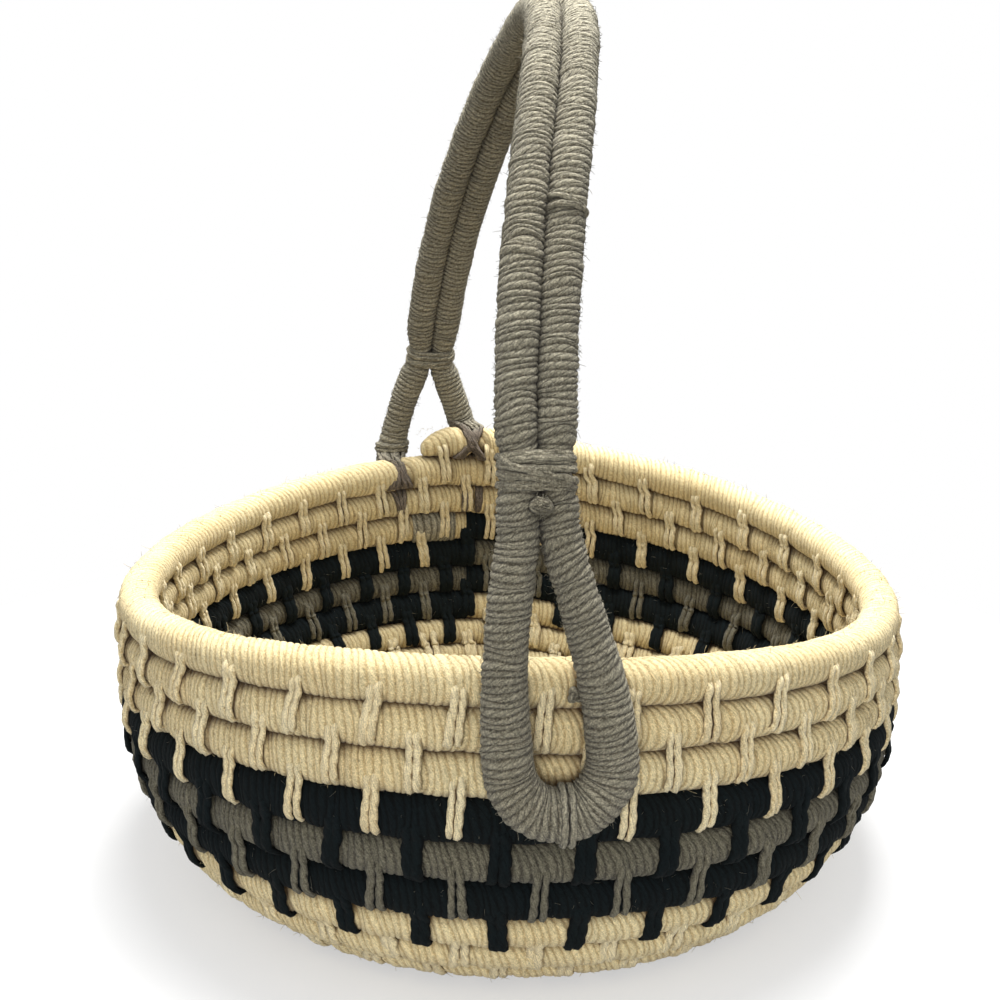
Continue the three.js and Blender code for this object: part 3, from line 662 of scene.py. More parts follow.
def spread_at(loop, above):
    if above < loop["radius"]:
        return math.sqrt(max(loop["radius"] ** 2 - (loop["radius"] - above) ** 2, 0))
    top = loop["drop"] + loop["split"]
    share = min(max((top - above) / (top - loop["radius"]), 0), 1)
    return STRAND_OFFSET + (loop["radius"] - STRAND_OFFSET) * math.sin(share * math.pi / 2)


def loop_line(angle, foot_point, loop, from_back):
    """Middle points, half spreads and swellings, from the loop's bottom to where its strands meet."""
    steps = 24
    heights = [loop["radius"] * (1 - math.cos(i * math.pi / (2 * steps))) for i in range(steps + 1)]
    remaining = loop["drop"] + loop["split"] - loop["radius"]
    heights += [loop["radius"] + remaining * i / steps for i in range(1, steps + 1)]
    swell_reach = loop["drop"] + 0.6 * loop["split"]
    outwards = round_point(angle, 1, 0)
    radius = math.hypot(foot_point[0], foot_point[1])
    line = []
    for above in heights:
        below = loop["drop"] - above
        if below >= 0:
            middle = loop_point(angle, foot_point, loop, below)
        else:
            middle = arch_point(arch_share(-below, from_back))
        spread = spread_at(loop, above)
        swell = LOOP_SWELL * smoothstep(min(max(1 - above / swell_reach, 0), 1))
        sag = radius - math.sqrt(radius ** 2 - spread ** 2)
        line.append((middle + outwards * (0.9 * swell - sag), spread, swell))
    return line


FRONT_LINE = loop_line(FRONT_ANGLE, FRONT_FOOT, FRONT_LOOP, False)
BACK_LINE = loop_line(BACK_ANGLE, BACK_FOOT, BACK_LOOP, True)


def handle_out(points):
    """Away from the middle of the arch's plane, for the side of the handle that faces outwards."""
    away = points - (FRONT_FOOT + BACK_FOOT) / 2
    away = away - (away @ SIDEWAYS)[:, None] * SIDEWAYS
    away[:, 2] = np.maximum(away[:, 2], 0)
    return away


def handle_path():
    start = arch_share(FRONT_LOOP["split"], False)
    stop = arch_share(BACK_LOOP["split"], True)
    arch = [(arch_point(share), STRAND_OFFSET, 0.0) for share in np.linspace(start, stop, 120)[1:-1]]
    middle, spread, swell = (np.array(column) for column in zip(*FRONT_LINE, *arch, *BACK_LINE[::-1]))
    along = unit(np.gradient(middle, axis=0))
    side = unit(SIDEWAYS - (along @ SIDEWAYS)[:, None] * along)
    # The bindings squeeze the strands together.
    for share in (FRONT_BINDING, BACK_BINDING):
        away = np.linalg.norm(middle - arch_point(share), axis=1)
        squeeze = np.exp(-(away / BINDING_REACH) ** 4)
        spread = spread - 0.9 * BINDING_SQUEEZE * squeeze
        swell = swell - BINDING_SQUEEZE * squeeze
    right, left = middle + side * spread[:, None], middle - side * spread[:, None]
    first = int(np.argmin(np.linalg.norm(right - arch_point(FRONT_BINDING), axis=1)))

    def closed(there, back):
        """Down one strand and back along the other, from the front binding round to it again."""
        ring = np.roll(np.concatenate([there, back[1:-1][::-1]]), -first, 0)
        return np.concatenate([ring, ring[:1]])

    strands, swells = closed(right, left), closed(swell, swell)
    # One sample a millimetre, smoothed a little round the whole loop
    at = distances(strands)
    even = np.linspace(0, at[-1], int(at[-1]))
    samples = interp_points(even, at, strands)[:-1]
    swells = np.interp(even, at, swells)[:-1]
    kernel = np.exp(-(np.arange(-9, 10) / 3.5) ** 2)
    kernel /= kernel.sum()
    smooth = sum(weight * np.roll(samples, 9 - i, 0) for i, weight in enumerate(kernel))
    smooth = np.concatenate([smooth, smooth[:1]])
    ring = np.concatenate([smooth[-2:-1], smooth, smooth[1:2]])
    forward = unit(ring[2:] - ring[:-2])
    up = square_to(forward, handle_out(smooth))
    half = HANDLE_RADIUS + np.append(swells, swells[0])
    return Path(smooth + AXIS, forward, up, np.cross(forward, up), half, half)


def leg_at(sign, height):
    """Where a strand of the back loop, the right one at sign 1, passes a height."""
    points = np.array([middle + sign * SIDEWAYS * spread for middle, spread, _ in BACK_LINE])
    return interp_points(height, points[:, 2], points) + AXIS


def leg_crossing(sign):
    """Place on the coil's top row, in turns, where a back leg of the handle passes it."""
    turns = LAST_TURN
    for _ in range(4):
        point = leg_at(sign, float(coil_point(turns)[2]) + COIL_RADIUS) - AXIS
        turns = top_turns(math.degrees(math.atan2(point[1], point[0])))
    return turns


def shifted(turns, right):
    """A place on the coil, at the back of the bowl, so far to the right as seen from the front."""
    return turns - right / np.hypot(*coil_point(turns)[:2]) / (2 * math.pi)


LEFT_CROSSING, RIGHT_CROSSING = leg_crossing(-1), leg_crossing(1)


# The wrapped coil
STITCHES = stitch_places()


def coil_path(from_turns, to_turns, radius=COIL_RADIUS):
    count = int((to_turns - from_turns) * 240) + 2
    turns = np.linspace(from_turns, to_turns, count)
    point, forward, up, out, half = coil_frame(turns)
    press = np.interp(turns, [BASE_TURNS - 1, BASE_TURNS + 1], [BASE_PRESS, ROW_PRESS])
    path = Path(point, forward, up, out, half + press + radius - COIL_RADIUS, np.full(count, radius))
    path.turns = turns
    return path


def coil_dents(path):
    """Stitches pull the cord in where they cross it, it swells a little between them, and the
    handle's lashings pinch it."""
    def marks_at(places):
        marks = np.interp(places, path.turns, path.at, left=-1e3, right=-1e3)
        return np.sort(marks[marks > -1])

    marks, upper = marks_at(STITCHES), marks_at(STITCHES + 1)
    pinches = [float(np.interp(turns, path.turns, path.at))
               for turns in (shifted(LEFT_CROSSING, LEFT_LASHING), shifted(RIGHT_CROSSING, RIGHT_LASHING))
               if path.turns[0] < turns < path.turns[-1]]

    def pull(s, places):
        if not len(places):
            return np.zeros(s.shape)
        after = np.clip(np.searchsorted(places, s), 1, len(places) - 1)
        nearest = np.minimum(abs(s - places[after - 1]), abs(s - places[after]))
        return np.exp(-(nearest / PULL_REACH) ** 2)

    def dents(s, angle):
        found = BETWEEN_SWELL - STITCH_PULL * pull(s, marks) - UPPER_PULL * pull(s, upper)
        found = abs(np.sin(angle)) * found
        for pinch in pinches:
            found = found - PINCH_DEPTH * np.exp(-((s - pinch) / PINCH_REACH) ** 4)
        return found

    return dents


def start_taper(s, length):
    return np.sqrt(np.clip(1 - (1 - np.clip(s / 5, 0, 1)) ** 2, 0.1, 1))


def end_taper(s, length):
    return 0.3 + 0.7 * np.clip((length - s) / NOSE_LENGTH, 0, 1) ** 0.6


TAPERS = {"base_coil": start_taper, "rim_top_row": end_taper}
RIDGE = 0.34                   # of the coil's yarn
# Name, first and last place, yarn, solid, ridges per turn, sides, and how much thicker than the coil
COILS = (
    ("base_coil", FIRST_PLACE, BASE_TURNS, CREAM, "base_wrap_cream", 4, 16, 0.0),
    ("lower_cream_rows", BASE_TURNS, LOWER_BLACK, CREAM, "base_wrap_cream", 5, 18, 0.0),
    ("lower_black_row", LOWER_BLACK, GREY_PLACE, BLACK, "lower_wrap_black", 5, 18, 0.35),
    ("middle_grey_row", GREY_PLACE, UPPER_BLACK, GREY, "middle_wrap_grey", 5, 20, -0.4),
    ("upper_black_row", UPPER_BLACK, RIM, BLACK, "upper_wrap_black", 5, 20, 0.35),
    ("rim_lower_rows", RIM, TOP_ROW, CREAM, "rim_wrap_cream", 5, 18, 0.0),
    ("rim_top_row", TOP_ROW, LAST_PLACE, CREAM, "rim_wrap_cream", 5, 20, 0.0),
)


def add_coil(name, from_turns, to_turns, material, node, lanes, sides, extra, seed):
    path = coil_path(from_turns, to_turns, COIL_RADIUS + extra)
    if name == "rim_top_row":
        # The cord's end sinks into the row under it.
        near = np.clip((path.length - path.at) / NOSE_LENGTH, 0, 1)
        path.columns[0] = path.columns[0] - path.columns[2] * (2.6 * (1 - near) ** 1.5)[:, None]
    obj = wrapped_cord(name, path, lanes, sides, seed, RIDGE, YARN_LEAN, dents=coil_dents(path),
                       taper=TAPERS.get(name), bulk=2.25)
    dress(obj, material, node)


for number, row in enumerate(COILS):
    add_coil(*row, 10 * number + 10)


def start_curl_path():
    """The cord's own start, curled into the middle of the base."""
    share = np.linspace(0, 1, 60)
    angle = np.radians(215 - 325 * share)
    ray = np.stack([np.cos(angle), np.sin(angle), 0 * angle], -1)
    forward = np.stack([ray[:, 1], -ray[:, 0], 0 * angle], -1)
    point = AXIS + [-1.2, 0.8, BASE_HEIGHT] + ray * (5.6 - 4 * share)[:, None]
    half = np.interp(share, [0, 0.7, 0.93, 1], [COIL_RADIUS - 0.2, 5.5, 5.0, 4.0])
    return Path(point, forward, ray, np.cross(forward, ray), half, half)


dress(wrapped_cord("start_curl", start_curl_path(), 5, 16, 95, RIDGE, 0.6), CREAM)


# Long stitches
# Angle above straight out and reach over the cord's radius, at each point of a stitch
OVER_UPPER = ((16, -2.6), (5, -1.6), (-6, -0.5), (-18, 0.5), (-40, 1.35))
OVER_LOWER = ((40, 1.5), (22, 1.05), (0, 0.9), (-20, 0.9))


def stitch_lines(places, inside, seed, splay, slant_by, lowest, sunk):
    """Lines of both strands of each stitch, from the underside of the upper row to that of the lower."""
    random = np.random.default_rng(seed)
    way = -1.0 if inside else 1.0
    lower, upper = coil_frame(places), coil_frame(places + 1)
    between = [(upper[0] + lower[0]) / 2, *(unit(upper[i] + lower[i]) for i in (1, 2, 3))]
    stops = [(upper, *stop) for stop in OVER_UPPER] + [(between, 0, -0.2)]
    stops += [(lower, *stop) for stop in (*OVER_LOWER, (lowest + 12, 0.7), (lowest, -1.3))]
    count = len(places)
    slant = slant_by + random.normal(size=count)
    # Most pairs of strands part towards the bottom, and some towards the top.
    spread_top = 0.95 + abs(random.normal(size=count)) * 0.12
    spread_low = 1.05 + abs(random.normal(size=count)) * splay
    swap = random.random(count) < 0.15
    spread_top, spread_low = np.where(swap, spread_low, spread_top), np.where(swap, spread_top, spread_low)
    bow = random.normal(size=count) * 0.3
    parts = []
    for strand in (-1, 1):
        reaches = random.normal(size=count) * 0.15
        start_shift, end_shift = random.normal(size=(2, count)) * 8
        points = []
        for i, (cord, degrees, extra) in enumerate(stops):
            share = i / (len(stops) - 1)
            shift = (start_shift * (1 - share) ** 3 + end_shift * share ** 4) * (cord is not between)
            angle = np.radians(degrees + shift)[:, None]
            radial = cord[3] * way * np.cos(angle) + cord[2] * np.sin(angle)
            sideways = slant * (share - 0.5) + strand * mixed(spread_top, spread_low, share ** 1.5)
            sideways = sideways + bow * math.sin(math.pi * share)
            reach = COIL_RADIUS + extra + reaches - sunk
            points.append((cord[0] + radial * reach[:, None] + cord[1] * sideways[:, None], cord[1], radial))
        parts.append([np.stack(column, 1) for column in zip(*points)])
    return [np.concatenate(column) for column in zip(*parts)]


def add_stitches(name, low, high, material, splay, slant, width, lowest, sunk, steps, seed):
    """Stitches whose upper row lies from low to high, outside and inside."""
    places = STITCHES[(STITCHES + 1 >= low) & (STITCHES + 1 < high)]
    if name == "rim_lower_stitches":
        # The handle's front loop hides the end of one, and is sewn on there instead.
        turned = (np.degrees(angle_at(places)) - FRONT_ANGLE + 3 + 180) % 360 - 180
        places = places[abs(turned) > 3]
    parts = [stitch_lines(places, inside, seed + inside, splay, slant, lowest, 0 if inside else sunk)
             for inside in (0, 1)]
    lines, across, normal = (np.concatenate(column) for column in zip(*parts))
    random = np.random.default_rng(seed + 5)
    shape = np.concatenate([[0.7, 0.95], np.ones(lines.shape[1] - 4), [1.0, 0.8]])
    uneven = random.normal(size=(len(lines), 1)) * 0.06 + random.normal(size=lines.shape[:2]) * 0.05
    sizes = shape * (1 + uneven)
    dress(plied(name, lines, across, normal, width * sizes, sizes, seed + 6, steps), material)


# Name, first and last place of the upper row, yarn, splay and slant of the strands, half width, lowest
# angle, how far the outer ones sink into the coil, and points along each
STITCH_ROWS = (
    ("base_stitches", 0, BASE_TURNS, CREAM_STITCH, 0.2, -0.5, 1.15, -48, 2.0, 12),
    ("lower_cream_stitches", BASE_TURNS, LOWER_BLACK, CREAM_STITCH, 0.6, -0.8, 1.7, -48, 1.3, 18),
    ("lower_black_stitches", LOWER_BLACK, GREY_PLACE, BLACK, 0.3, -0.6, 1.75, -50, 0.0, 18),
    ("grey_stitches", GREY_PLACE, UPPER_BLACK, GREY, 0.6, -0.8, 1.3, -56, 0.0, 20),
    ("upper_black_stitches", UPPER_BLACK, RIM, BLACK, 0.5, -0.6, 1.95, -72, 0.0, 20),
    ("rim_lower_stitches", RIM, TOP_ROW - 1, CREAM_STITCH, 0.35, -0.8, 1.3, -50, 0.0, 20),
    ("rim_middle_stitches", TOP_ROW - 1, TOP_ROW, CREAM_STITCH, 0.3, -1.5, 1.3, -48, 0.0, 20),
    ("rim_top_stitches", TOP_ROW, LAST_PLACE, CREAM_STITCH, 0.4, -2.4, 1.35, -48, 0.0, 20),
)
for number, row in enumerate(STITCH_ROWS):
    add_stitches(*row, 100 + 10 * number)

HANDLE = handle_path()
HANDLE_RIDGE = 0.45
dress(wrapped_cord("handle_cord", HANDLE, 4, 42, 81, HANDLE_RIDGE, 0.3, 1.35, plies=0.12, yarn=HANDLE_PITCH),
      TAUPE, "handle_wrap")


# Yarn ties
def smooth_line(points):
    """A curve through points, sampled about every half millimetre."""
    points = np.asarray(points, float)
    ends = [2 * points[0] - points[1], *points, 2 * points[-1] - points[-2]]
    fine = [curve_point(t, *near) for near in zip(ends, ends[1:], ends[2:], ends[3:])
            for t in np.linspace(0, 1, 9)[:-1]]
    fine = np.array([*fine, points[-1]])
    at = distances(fine)
    return interp_points(np.linspace(0, at[-1], max(int(at[-1] / 0.5), 4)), at, fine)


def yarn_lines(name, routes, radius, nodes=(), material=TAUPE):
    """Yarns along routes, each one in its own turning frame, as one piece."""
    lines = [smooth_line(route) for route in routes]
    count = max(len(line) for line in lines)
    lines = [interp_points(np.linspace(0, 1, count), np.linspace(0, 1, len(line)), line) for line in lines]
    across, upwards = [], []
    for line in lines:
        along = unit(np.gradient(line, axis=0))
        up = np.array([0.0, 0.0, 1.0]) if abs(along[0, 2]) < 0.9 else SIDEWAYS
        ups = []
        for direction in along:
            up = unit(up - up @ direction * direction)
            ups.append(up)
        upwards.append(ups)
        across.append(np.cross(ups, along))
    size = np.full(count, float(radius))
    size[0] = size[-1] = 0.6 * radius
    obj = plied(name, np.array(lines), np.array(across), np.array(upwards), size, size, len(name), count, 6)
    dress(obj, material, *nodes)


def arch_frame(share):
    nudge = 0.005
    along = unit(arch_point(share + nudge) - arch_point(share - nudge))
    side = unit(SIDEWAYS - SIDEWAYS @ along * along)
    return arch_point(share) + AXIS, along, side, np.cross(side, along)


def binding_route(share, turns, pitch, over, tilt_size, seed, middle=0.0):
    """A yarn wound round both strands where they are squeezed together."""
    point, along, side, out = arch_frame(share)
    steps = 24
    tilt = wander(turns + 1, 0.5, seed, tilt_size)
    bump = wander(turns + 1, 0.3, seed + 1, 0.12)
    route = []
    for i in range(int(turns * steps) + 1):
        turn = i * 2 * math.pi / steps
        across = math.cos(turn)
        flat = (STRAND_OFFSET - 0.9 * BINDING_SQUEEZE) * min(max(across * 2, -1), 1)
        climb = middle + (i / steps - turns / 2) * pitch + float(tilt(i / steps)) * across
        radius = HANDLE_RADIUS - BINDING_SQUEEZE + over + float(bump(i / steps))
        route.append(point + side * (flat + radius * across) + out * radius * math.sin(turn) + along * climb)
    return route


yarn_lines("front_binding_yarn", [
    binding_route(FRONT_BINDING, 5, 2.0, 0.75, 0.5, 5),
    binding_route(FRONT_BINDING, 3, 2.6, 1.45, 1.3, 15, 0.2),
    binding_route(FRONT_BINDING, 2, 3.4, 1.7, 1.8, 25, -2.6),
], 1.1, ("front_binding",))
yarn_lines("back_binding_yarn", [
    binding_route(BACK_BINDING, 4, 1.85, 0.75, 0.5, 7, 0.5),
    binding_route(BACK_BINDING, 2, 2.6, 1.45, 1.1, 17, 0.3),
], 1.05, ("back_binding",))


def box_middle(node):
    return np.array(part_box(node)).sum(0) / 2 / MM


def knot_route(centre, size, turn, tails):
    """An overhand knot with two short tails; turn is its angle about the way out of the basket."""
    t = np.linspace(0.25, 2 * math.pi - 0.25, 40)
    flat = np.stack([np.sin(t) + 2 * np.sin(2 * t), -0.9 * np.sin(3 * t), np.cos(t) - 2 * np.cos(2 * t)], -1)
    c, s = math.cos(turn), math.sin(turn)
    route = centre + flat @ np.array([[c, 0, s], [0, 1, 0], [-s, 0, c]]) * size / 6
    return [route[0] + tails[0], *route, route[-1] + tails[1]]


def lump_route(centre, size, turns, seed):
    """A yarn that turns round and round in a small lump."""
    t = np.linspace(0, turns, int(turns * 14))
    swing = wander(turns + 1, 0.6, seed, 0.5)(t)
    steep = wander(turns + 1, 0.7, seed + 1, 0.6)(t)
    angle = 2 * math.pi * t
    ball = np.stack([np.cos(angle) * np.cos(swing), np.sin(angle) * np.cos(steep),
                     np.sin(angle) * np.sin(steep) + np.cos(angle) * np.sin(swing)], -1)
    return centre + unit(ball) * size


KNOT = box_middle("front_binding_knot") - [0, 0.3, 0.2]
yarn_lines("front_binding_knot_yarn", [lump_route(KNOT, np.array([2.3, 1.5, 1.9]), 5, 3)], 0.95,
           ("front_binding_knot",))
TAILS = 0.8 * np.array([(-1.4, 0.6, -1.6), (1.6, 0.5, -1.2)])
yarn_lines("front_leg_knot_yarn", [knot_route(box_middle("front_leg_knot"), 3.8, 1.4, TAILS)], 0.85,
           ("front_leg_knot",))


def tie_route(shift, slope):
    """A yarn that slants across the right strand, out of one groove and into the next."""
    point, along, side, out = arch_frame(TIE_ALONG)
    route = []
    for angle in np.radians(np.linspace(8, 172, 12)):
        reach = HANDLE_RADIUS - 0.9 + 1.3 * math.sin(angle) ** 0.5
        route.append(point + side * (STRAND_OFFSET + reach * math.cos(angle))
                     + out * reach * math.sin(angle) + along * (shift - slope * math.cos(angle)))
    return route


yarn_lines("handle_tie_yarn", [tie_route(0.9, 1.7), tie_route(-0.9, -0.4)], 0.95, ("handle_tie",))


def on_coil(turns, right, degrees, over):
    """A point over the coil at the back of the bowl: so far to the right as seen from the front, at an
    angle from its top, outwards positive, and so far over its yarn."""
    point, _, up, outwards, _ = coil_frame(shifted(turns, right))
    angle = math.radians(degrees)
    return point + (COIL_RADIUS + over) * (outwards * math.sin(angle) + up * math.cos(angle))


def coil_top(turns):
    return float(coil_point(turns)[2]) + COIL_RADIUS


def collar_route(sign, turns, rise, height, seed):
    """A yarn wound tightly round a back leg of the handle, above the rim."""
    steps = 16
    tilt = wander(turns + 1, 0.4, seed, 0.7)
    reach = HANDLE_RADIUS + 0.75
    route = []
    for i in range(int(turns * steps) + 1):
        angle = i * 2 * math.pi / steps
        centre = leg_at(sign, height + (i / steps / turns - 0.5) * rise)
        route.append(centre + [reach * math.cos(angle), reach * math.sin(angle), float(tilt(i / steps))])
    return route


def leg_front(sign, crossing, right):
    """A point on the side of a back leg that faces the front, so far to the right of its middle, 2 mm
    over the rim."""
    deep = math.sqrt(max((HANDLE_RADIUS + 0.3) ** 2 - right ** 2, 1.0))
    return leg_at(sign, coil_top(crossing) + 2.0) + [right, -deep, 0]


def left_route(spread, over):
    """One of the left leg's yarns: they draw together over the rim, spread again inside it, and leave
    under the row. Its place among them, spread, runs from -1 to 1."""
    stops = ((30, -1.0, 4.4, over + 1.2), (-5, -0.3, 2.9, over + 0.2), (-40, 0, 2.3, over),
             (-75, 0, 2.5, over + 0.2), (-105, 0, 3.6, over + 1.0 + 0.9 * abs(spread)), (-130, 0, 4.8, 0.5),
             (-152, 0, 4.9, -1.0))
    return [leg_front(-1, LEFT_CROSSING, 5.6 * spread)] + [
        on_coil(LEFT_CROSSING, LEFT_LASHING + shift + width * spread, degrees, height)
        for degrees, shift, width, height in stops]


def right_route(way, lift, shift):
    """One of the right leg's yarns, which cross over the rim, to the right where way is -1."""
    steps = ((-3.6, 30), (-3.0, 0), (-1.9, -30), (-0.7, -58), (0.6, -84), (2.6, -108), (4.8, -132),
             (5.6, -152))
    route = [leg_front(1, RIGHT_CROSSING, 3.4 * way + shift)]
    for right, degrees in steps:
        place = 0.8 * shift + (right if way < 0 else -right * (0.8 if right < 0 else 1.1))
        over = -1.3 + 1.9 * min(abs(place) / 4.0, 1) ** 2 + lift
        route.append(on_coil(RIGHT_CROSSING, RIGHT_LASHING + place, degrees, over))
    route[-1] = on_coil(RIGHT_CROSSING, RIGHT_LASHING + place, degrees, -1.2)
    return route


def wrap_route(turns, start, end, stops):
    """A yarn round a row inside the bowl, from so far right, start, to end."""
    return [on_coil(turns, start + (end - start) * share, degrees, over) for share, degrees, over in stops]


# How far over the row's yarn each layer lies, and its yarns' places
LEFT_LAYERS = ((-2.0, (-1, -0.62, -0.25, 0.15, 0.55, 0.95)), (-0.4, (-0.45, 0.35)))
yarn_lines("back_left_collar_yarn", [collar_route(-1, 2.3, 4.2, coil_top(LEFT_CROSSING) + 3.4, 31)], 1.05)
yarn_lines("back_left_lashing_yarn", [left_route(place, over) for over, places in LEFT_LAYERS
                                      for place in places], 1.1, ("back_left_lashing",), LEG_SHADED_LASHING)
LEFT_STOPS = ((0, 0, -1.2), (0, -28, 0.5), (0.3, -60, 0.8), (0.6, -90, 0.7), (0.9, -120, 0.6),
              (1, -145, -1.0))
yarn_lines("back_left_wrap_yarn", [wrap_route(LEFT_CROSSING - 1, 1.3 + 1.1 * way, 1.3 + 0.1 * way, LEFT_STOPS)
                                   for way in (-2.4, 0.0, 2.2)], 1.05, (), SHADED_LASHING)
yarn_lines("back_right_lashing_yarn", [right_route(way, lift, shift) for way, lift in ((-1, 1.0), (1, 0.5))
                                       for shift in (-1.5, 0.0, 1.5)],
           1.1, ("back_right_lashing",), LEG_SHADED_LASHING)
RIGHT_STOPS = ((0, -5, -1.2), (0.2, -30, 0.5), (0.5, -65, 0.8), (0.8, -100, 0.7), (1, -130, 0.5),
               (1, -150, -1.0))
yarn_lines("back_right_wrap_yarn", [wrap_route(RIGHT_CROSSING - 2, start, end, RIGHT_STOPS)
                                    for start, end in ((0.3, 0.8), (1.8, 1.8), (6.2, 6.8), (8.0, 7.8))],
           1.05, (), SHADED_LASHING)

# Where the cream yarn starts, inside, the handle's yarn is wound over it.
SEAM_PATH = coil_path(RIM + 0.0062, RIM + 0.0305, COIL_RADIUS + 0.8)
dress(wrapped_cord("seam_wrap", SEAM_PATH, 5, 20, 91, HANDLE_RIDGE, YARN_LEAN, 1.6, bulk=2.5), TAUPE)


def loop_stitch_routes(angle, foot_point, loop):
    """Two yarns over the bottom of a loop, from the wall above it to the wall below."""
    outwards = round_point(angle, 1, 0)
    middle = loop_point(angle, foot_point, loop, loop["drop"]) + AXIS + outwards * 0.9 * LOOP_SWELL
    reach = HANDLE_RADIUS + LOOP_SWELL + 0.5
    turns = np.radians(range(-125, 126, 25))
    return [[middle + outwards * reach * math.cos(turn) + [shift, 0, reach * math.sin(turn)]
             for turn in turns] for shift in (-1.1, 1.1)]


yarn_lines("front_loop_stitch_yarn", loop_stitch_routes(FRONT_ANGLE, FRONT_FOOT, FRONT_LOOP), 1.0,
           ("front_loop_stitch",))
yarn_lines("back_loop_stitch_yarn", loop_stitch_routes(BACK_ANGLE, BACK_FOOT, BACK_LOOP), 1.0,
           ("back_loop_stitch",))


def add_core():
    """The soft cord inside the coil, thinner where the lashings pinch it."""
    path = coil_path(FIRST_PLACE, LAST_PLACE)
    s = np.linspace(2.5, path.length - NOSE_LENGTH, 2600)
    point, _, up, out, _, _ = path(s)
    radius = CORE_RADIUS + 0.3 * coil_dents(path)(s, np.zeros(len(s)))
    radius[0] = radius[-1] = 2.0
    dress(tubes("core_rope", point[None], up[None], out[None], radius, radius, 12), COTTON, "core_cord")


add_core()
paint(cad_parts["handle_core"], COTTON)


# Loose fibres
def add_fuzz(name, paths, count, seed, material, longest, thick=0.075, upright=0.3, slot=None):
    """Fine bent fibres, most of them lying on the yarn and some standing off it, spread over paths."""
    random = np.random.default_rng(seed)
    lengths = np.array([path.length for path in paths])
    placed = []
    for path, number in zip(paths, (count * lengths / lengths.sum()).astype(int)):
        s = random.random(number) * path.length
        angle = random.random(number)[:, None] * 2 * np.pi
        point, forward, up, out, half_up, half_out = path(s)
        reach = up * (half_up[:, None] * np.cos(angle)) + out * (half_out[:, None] * np.sin(angle))
        placed.append((point + 0.99 * reach, up * np.cos(angle) + out * np.sin(angle), forward))
    start, normal, forward = (np.concatenate(column) for column in zip(*placed))
    total = len(start)
    around = np.cross(forward, normal)
    way = random.normal(size=(total, 2, 1))
    stand = np.where(random.random((total, 1)) < upright, 0.8, 0.3)
    direction = unit(stand * normal + 0.6 * (way[:, 0] * forward + 1.3 * way[:, 1] * around))
    curl = unit(random.normal(size=(total, 3)) - 0.4 * normal)
    length = ((0.3 + 0.7 * random.random(total) ** 2) * longest)[:, None, None]
    share = np.linspace(0, 1, 4)[None, :, None]
    line = start[:, None] + direction[:, None] * length * share
    line = line + curl[:, None] * (length * 0.6) * share ** 2
    along = unit(np.gradient(line, axis=1))
    across = unit(np.cross(along, curl[:, None] + 0.01))
    width = thick * np.array([1.0, 1.0, 0.85, 0.5])
    dress(tubes(name, line, across, np.cross(along, across), width, width, 3), material, slot=slot)


def paths_of(*names):
    return [coil_path(low, high) for name, low, high, *_ in COILS if name in names]


RIM_ROWS = paths_of("rim_lower_rows", "rim_top_row")
BLACK_ROWS = paths_of("lower_black_row", "upper_black_row")
DARK_ROWS = paths_of("lower_black_row", "middle_grey_row", "upper_black_row")
KNOT_AXES = [np.array([axis, axis], float) for axis in ((1, 0, 0), (0, 0, 1), (0, -1, 0))]
KNOT_BALL = Path(KNOT + np.array([[-1.2, 0, 0], [1.2, 0, 0]]), *KNOT_AXES, *np.full((2, 2), 2.0))
add_fuzz("rim_fibres", RIM_ROWS, 8000, 201, CREAM, 3.0)
add_fuzz("lower_fibres", paths_of("lower_cream_rows"), 4000, 205, CREAM, 2.6)
add_fuzz("black_fibres", BLACK_ROWS, 3000, 202, BLACK, 2.6)
add_fuzz("grey_fibres", DARK_ROWS, 2000, 203, GREY, 2.6)
add_fuzz("handle_fibres", [HANDLE], 8500, 204, TAUPE, 1.9)
add_fuzz("handle_fuzz", [HANDLE], 9500, 208, TAUPE, 1.3, 0.06, 0.8)
add_fuzz("rim_fuzz", RIM_ROWS, 9500, 209, CREAM, 1.4, 0.06, 0.8)
add_fuzz("stray_fibres", BLACK_ROWS, 3000, 207, TAUPE, 3.6, 0.05, slot="grey_yarn")
add_fuzz("knot_fibres", [KNOT_BALL], 500, 206, TAUPE, 1.8, 0.11)


# Floor, world, lamps and camera
def add_floor():
    """A pale disc that fades into the white background away from the object."""
    bpy.ops.mesh.primitive_circle_add(vertices=128, radius=3.0, fill_type="NGON", location=(0, 0, 0))
    floor = bpy.context.object
    floor.name = "floor"
    shader = Shader(bpy.data.materials.new("floor_paper"))
    place = shader.node("ShaderNodeTexCoord").outputs["Object"]
    colour = shader.mix(shader.noise(place, 60, 3.0), (0.9, 0.9, 0.9, 1), (0.94, 0.94, 0.94, 1))
    shader.fill(shader.principled, {"Base Color": colour, "Roughness": 0.9, "Specular IOR Level": 0.0})
    white = shader.node("ShaderNodeEmission")
    shader.fill(white, {"Strength": shader.node("ShaderNodeLightPath").outputs["Is Camera Ray"]})
    far = shader.span(shader.vector_math("LENGTH", place), 0.1, 0.34, 0.45, 1.0)
    blend = shader.node("ShaderNodeMixShader", far)
    shader.link(shader.principled.outputs[0], blend.inputs[1])
    shader.link(white.outputs[0], blend.inputs[2])
    shader.link(blend.outputs[0], shader.tree.nodes["Material Output"].inputs["Surface"])
    floor.data.materials.append(shader.owner)


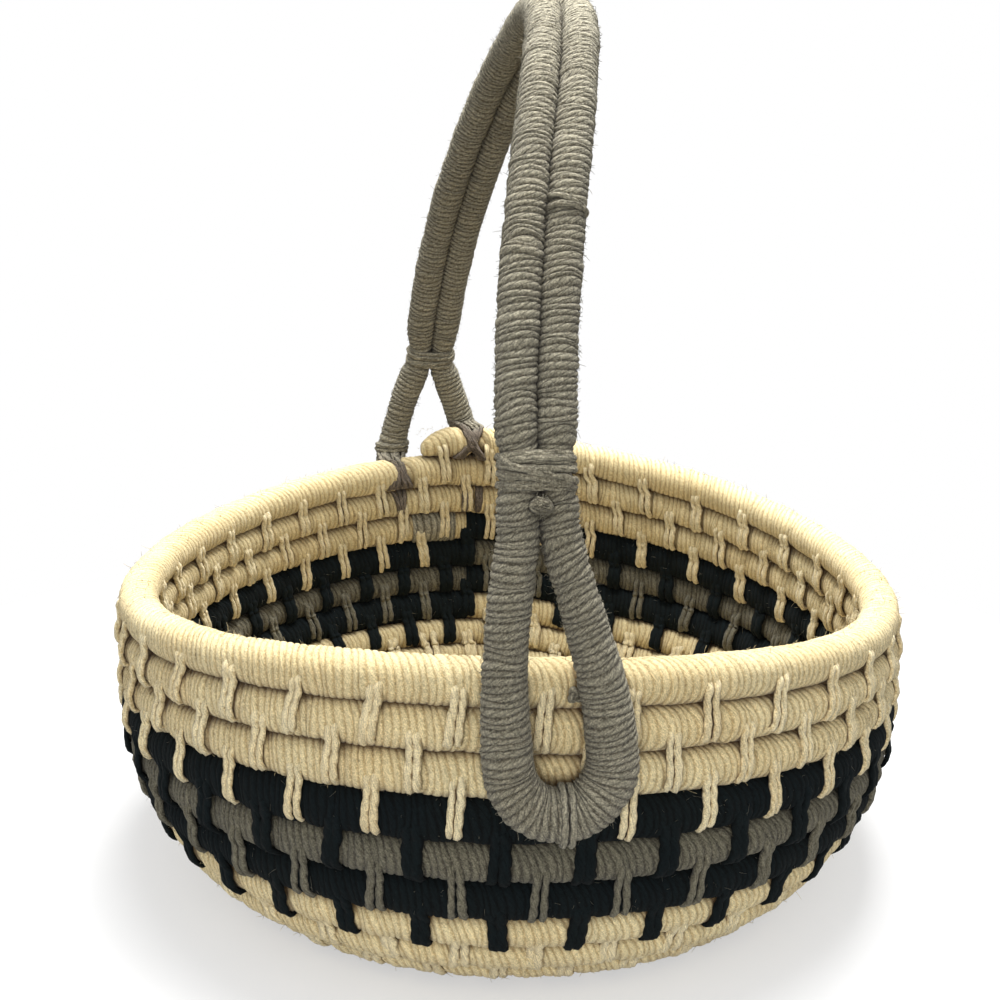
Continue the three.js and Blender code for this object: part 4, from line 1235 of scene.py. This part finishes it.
def add_world(level):
    """Even light from all round, and white where the camera or a reflection sees it."""
    shader = Shader(bpy.data.worlds.new("studio"))
    rays = shader.node("ShaderNodeLightPath").outputs
    seen = shader.math("MAXIMUM", rays["Is Camera Ray"], rays["Is Glossy Ray"])
    strength = shader.span(seen, 0.0, 1.0, level)
    shader.fill(shader.tree.nodes["Background"], {"Color": (1, 1, 1, 1), "Strength": strength})
    bpy.context.scene.world = shader.owner


def stand(obj, right, up, back, place):
    """Put the object at a place, its own x, y and z along right, up and back."""
    rows = np.column_stack([right, up, back, place]).tolist()
    obj.matrix_world = Matrix([*rows, (0, 0, 0, 1)])


def add_light(name, place, size, power):
    light = bpy.data.lights.new(name, "AREA")
    light.shape = "SQUARE"
    light.size = size
    light.energy = power
    away = unit(np.array(place) - LAMP_TARGET)
    side = unit(np.cross([0, 0, 1], away))
    stand(link_object(name, light), side, np.cross(away, side), away, place)


# The photograph's camera, about the bowl's axis at the height of its rim
CAMERA_DISTANCE = 459.04
CAMERA_RISE = 154.18
RIM_LEVEL = 98.6
CAMERA_PITCH = 0.277458
CAMERA_ROLL = 0.0148378
CAMERA_YAW = -0.0080687
FOCAL_PIXELS = 1351.55
PHOTO_PIXELS = 1000


def add_camera():
    camera = bpy.data.cameras.new("camera")
    camera.sensor_fit = "HORIZONTAL"
    camera.sensor_width = 36
    camera.lens = camera.sensor_width * FOCAL_PIXELS / PHOTO_PIXELS
    camera.clip_start = 0.01
    s, c = math.sin(CAMERA_YAW), math.cos(CAMERA_YAW)
    sp, cp = math.sin(CAMERA_PITCH), math.cos(CAMERA_PITCH)
    sr, cr = math.sin(CAMERA_ROLL), math.cos(CAMERA_ROLL)
    level_right = np.array([c, -s, 0])
    level_up = np.array([s * sp, c * sp, cp])
    right = cr * level_right + sr * level_up
    up = cr * level_up - sr * level_right
    place = (AXIS + [0, -CAMERA_DISTANCE, RIM_LEVEL + CAMERA_RISE]) * MM
    obj = link_object("camera", camera)
    stand(obj, right, up, np.cross(right, up), place)
    bpy.context.scene.camera = obj


WORLD_LEVEL = 0.6
LAMP_TARGET = (0, 0, 0.09)
add_floor()
add_world(WORLD_LEVEL)
add_light("key", (-0.05, -0.85, 0.24), 0.4, 3.2)
add_light("top", (0.03, 0.12, 0.75), 0.4, 13.0)
add_camera()
bpy.context.scene.view_settings.view_transform = "Standard"
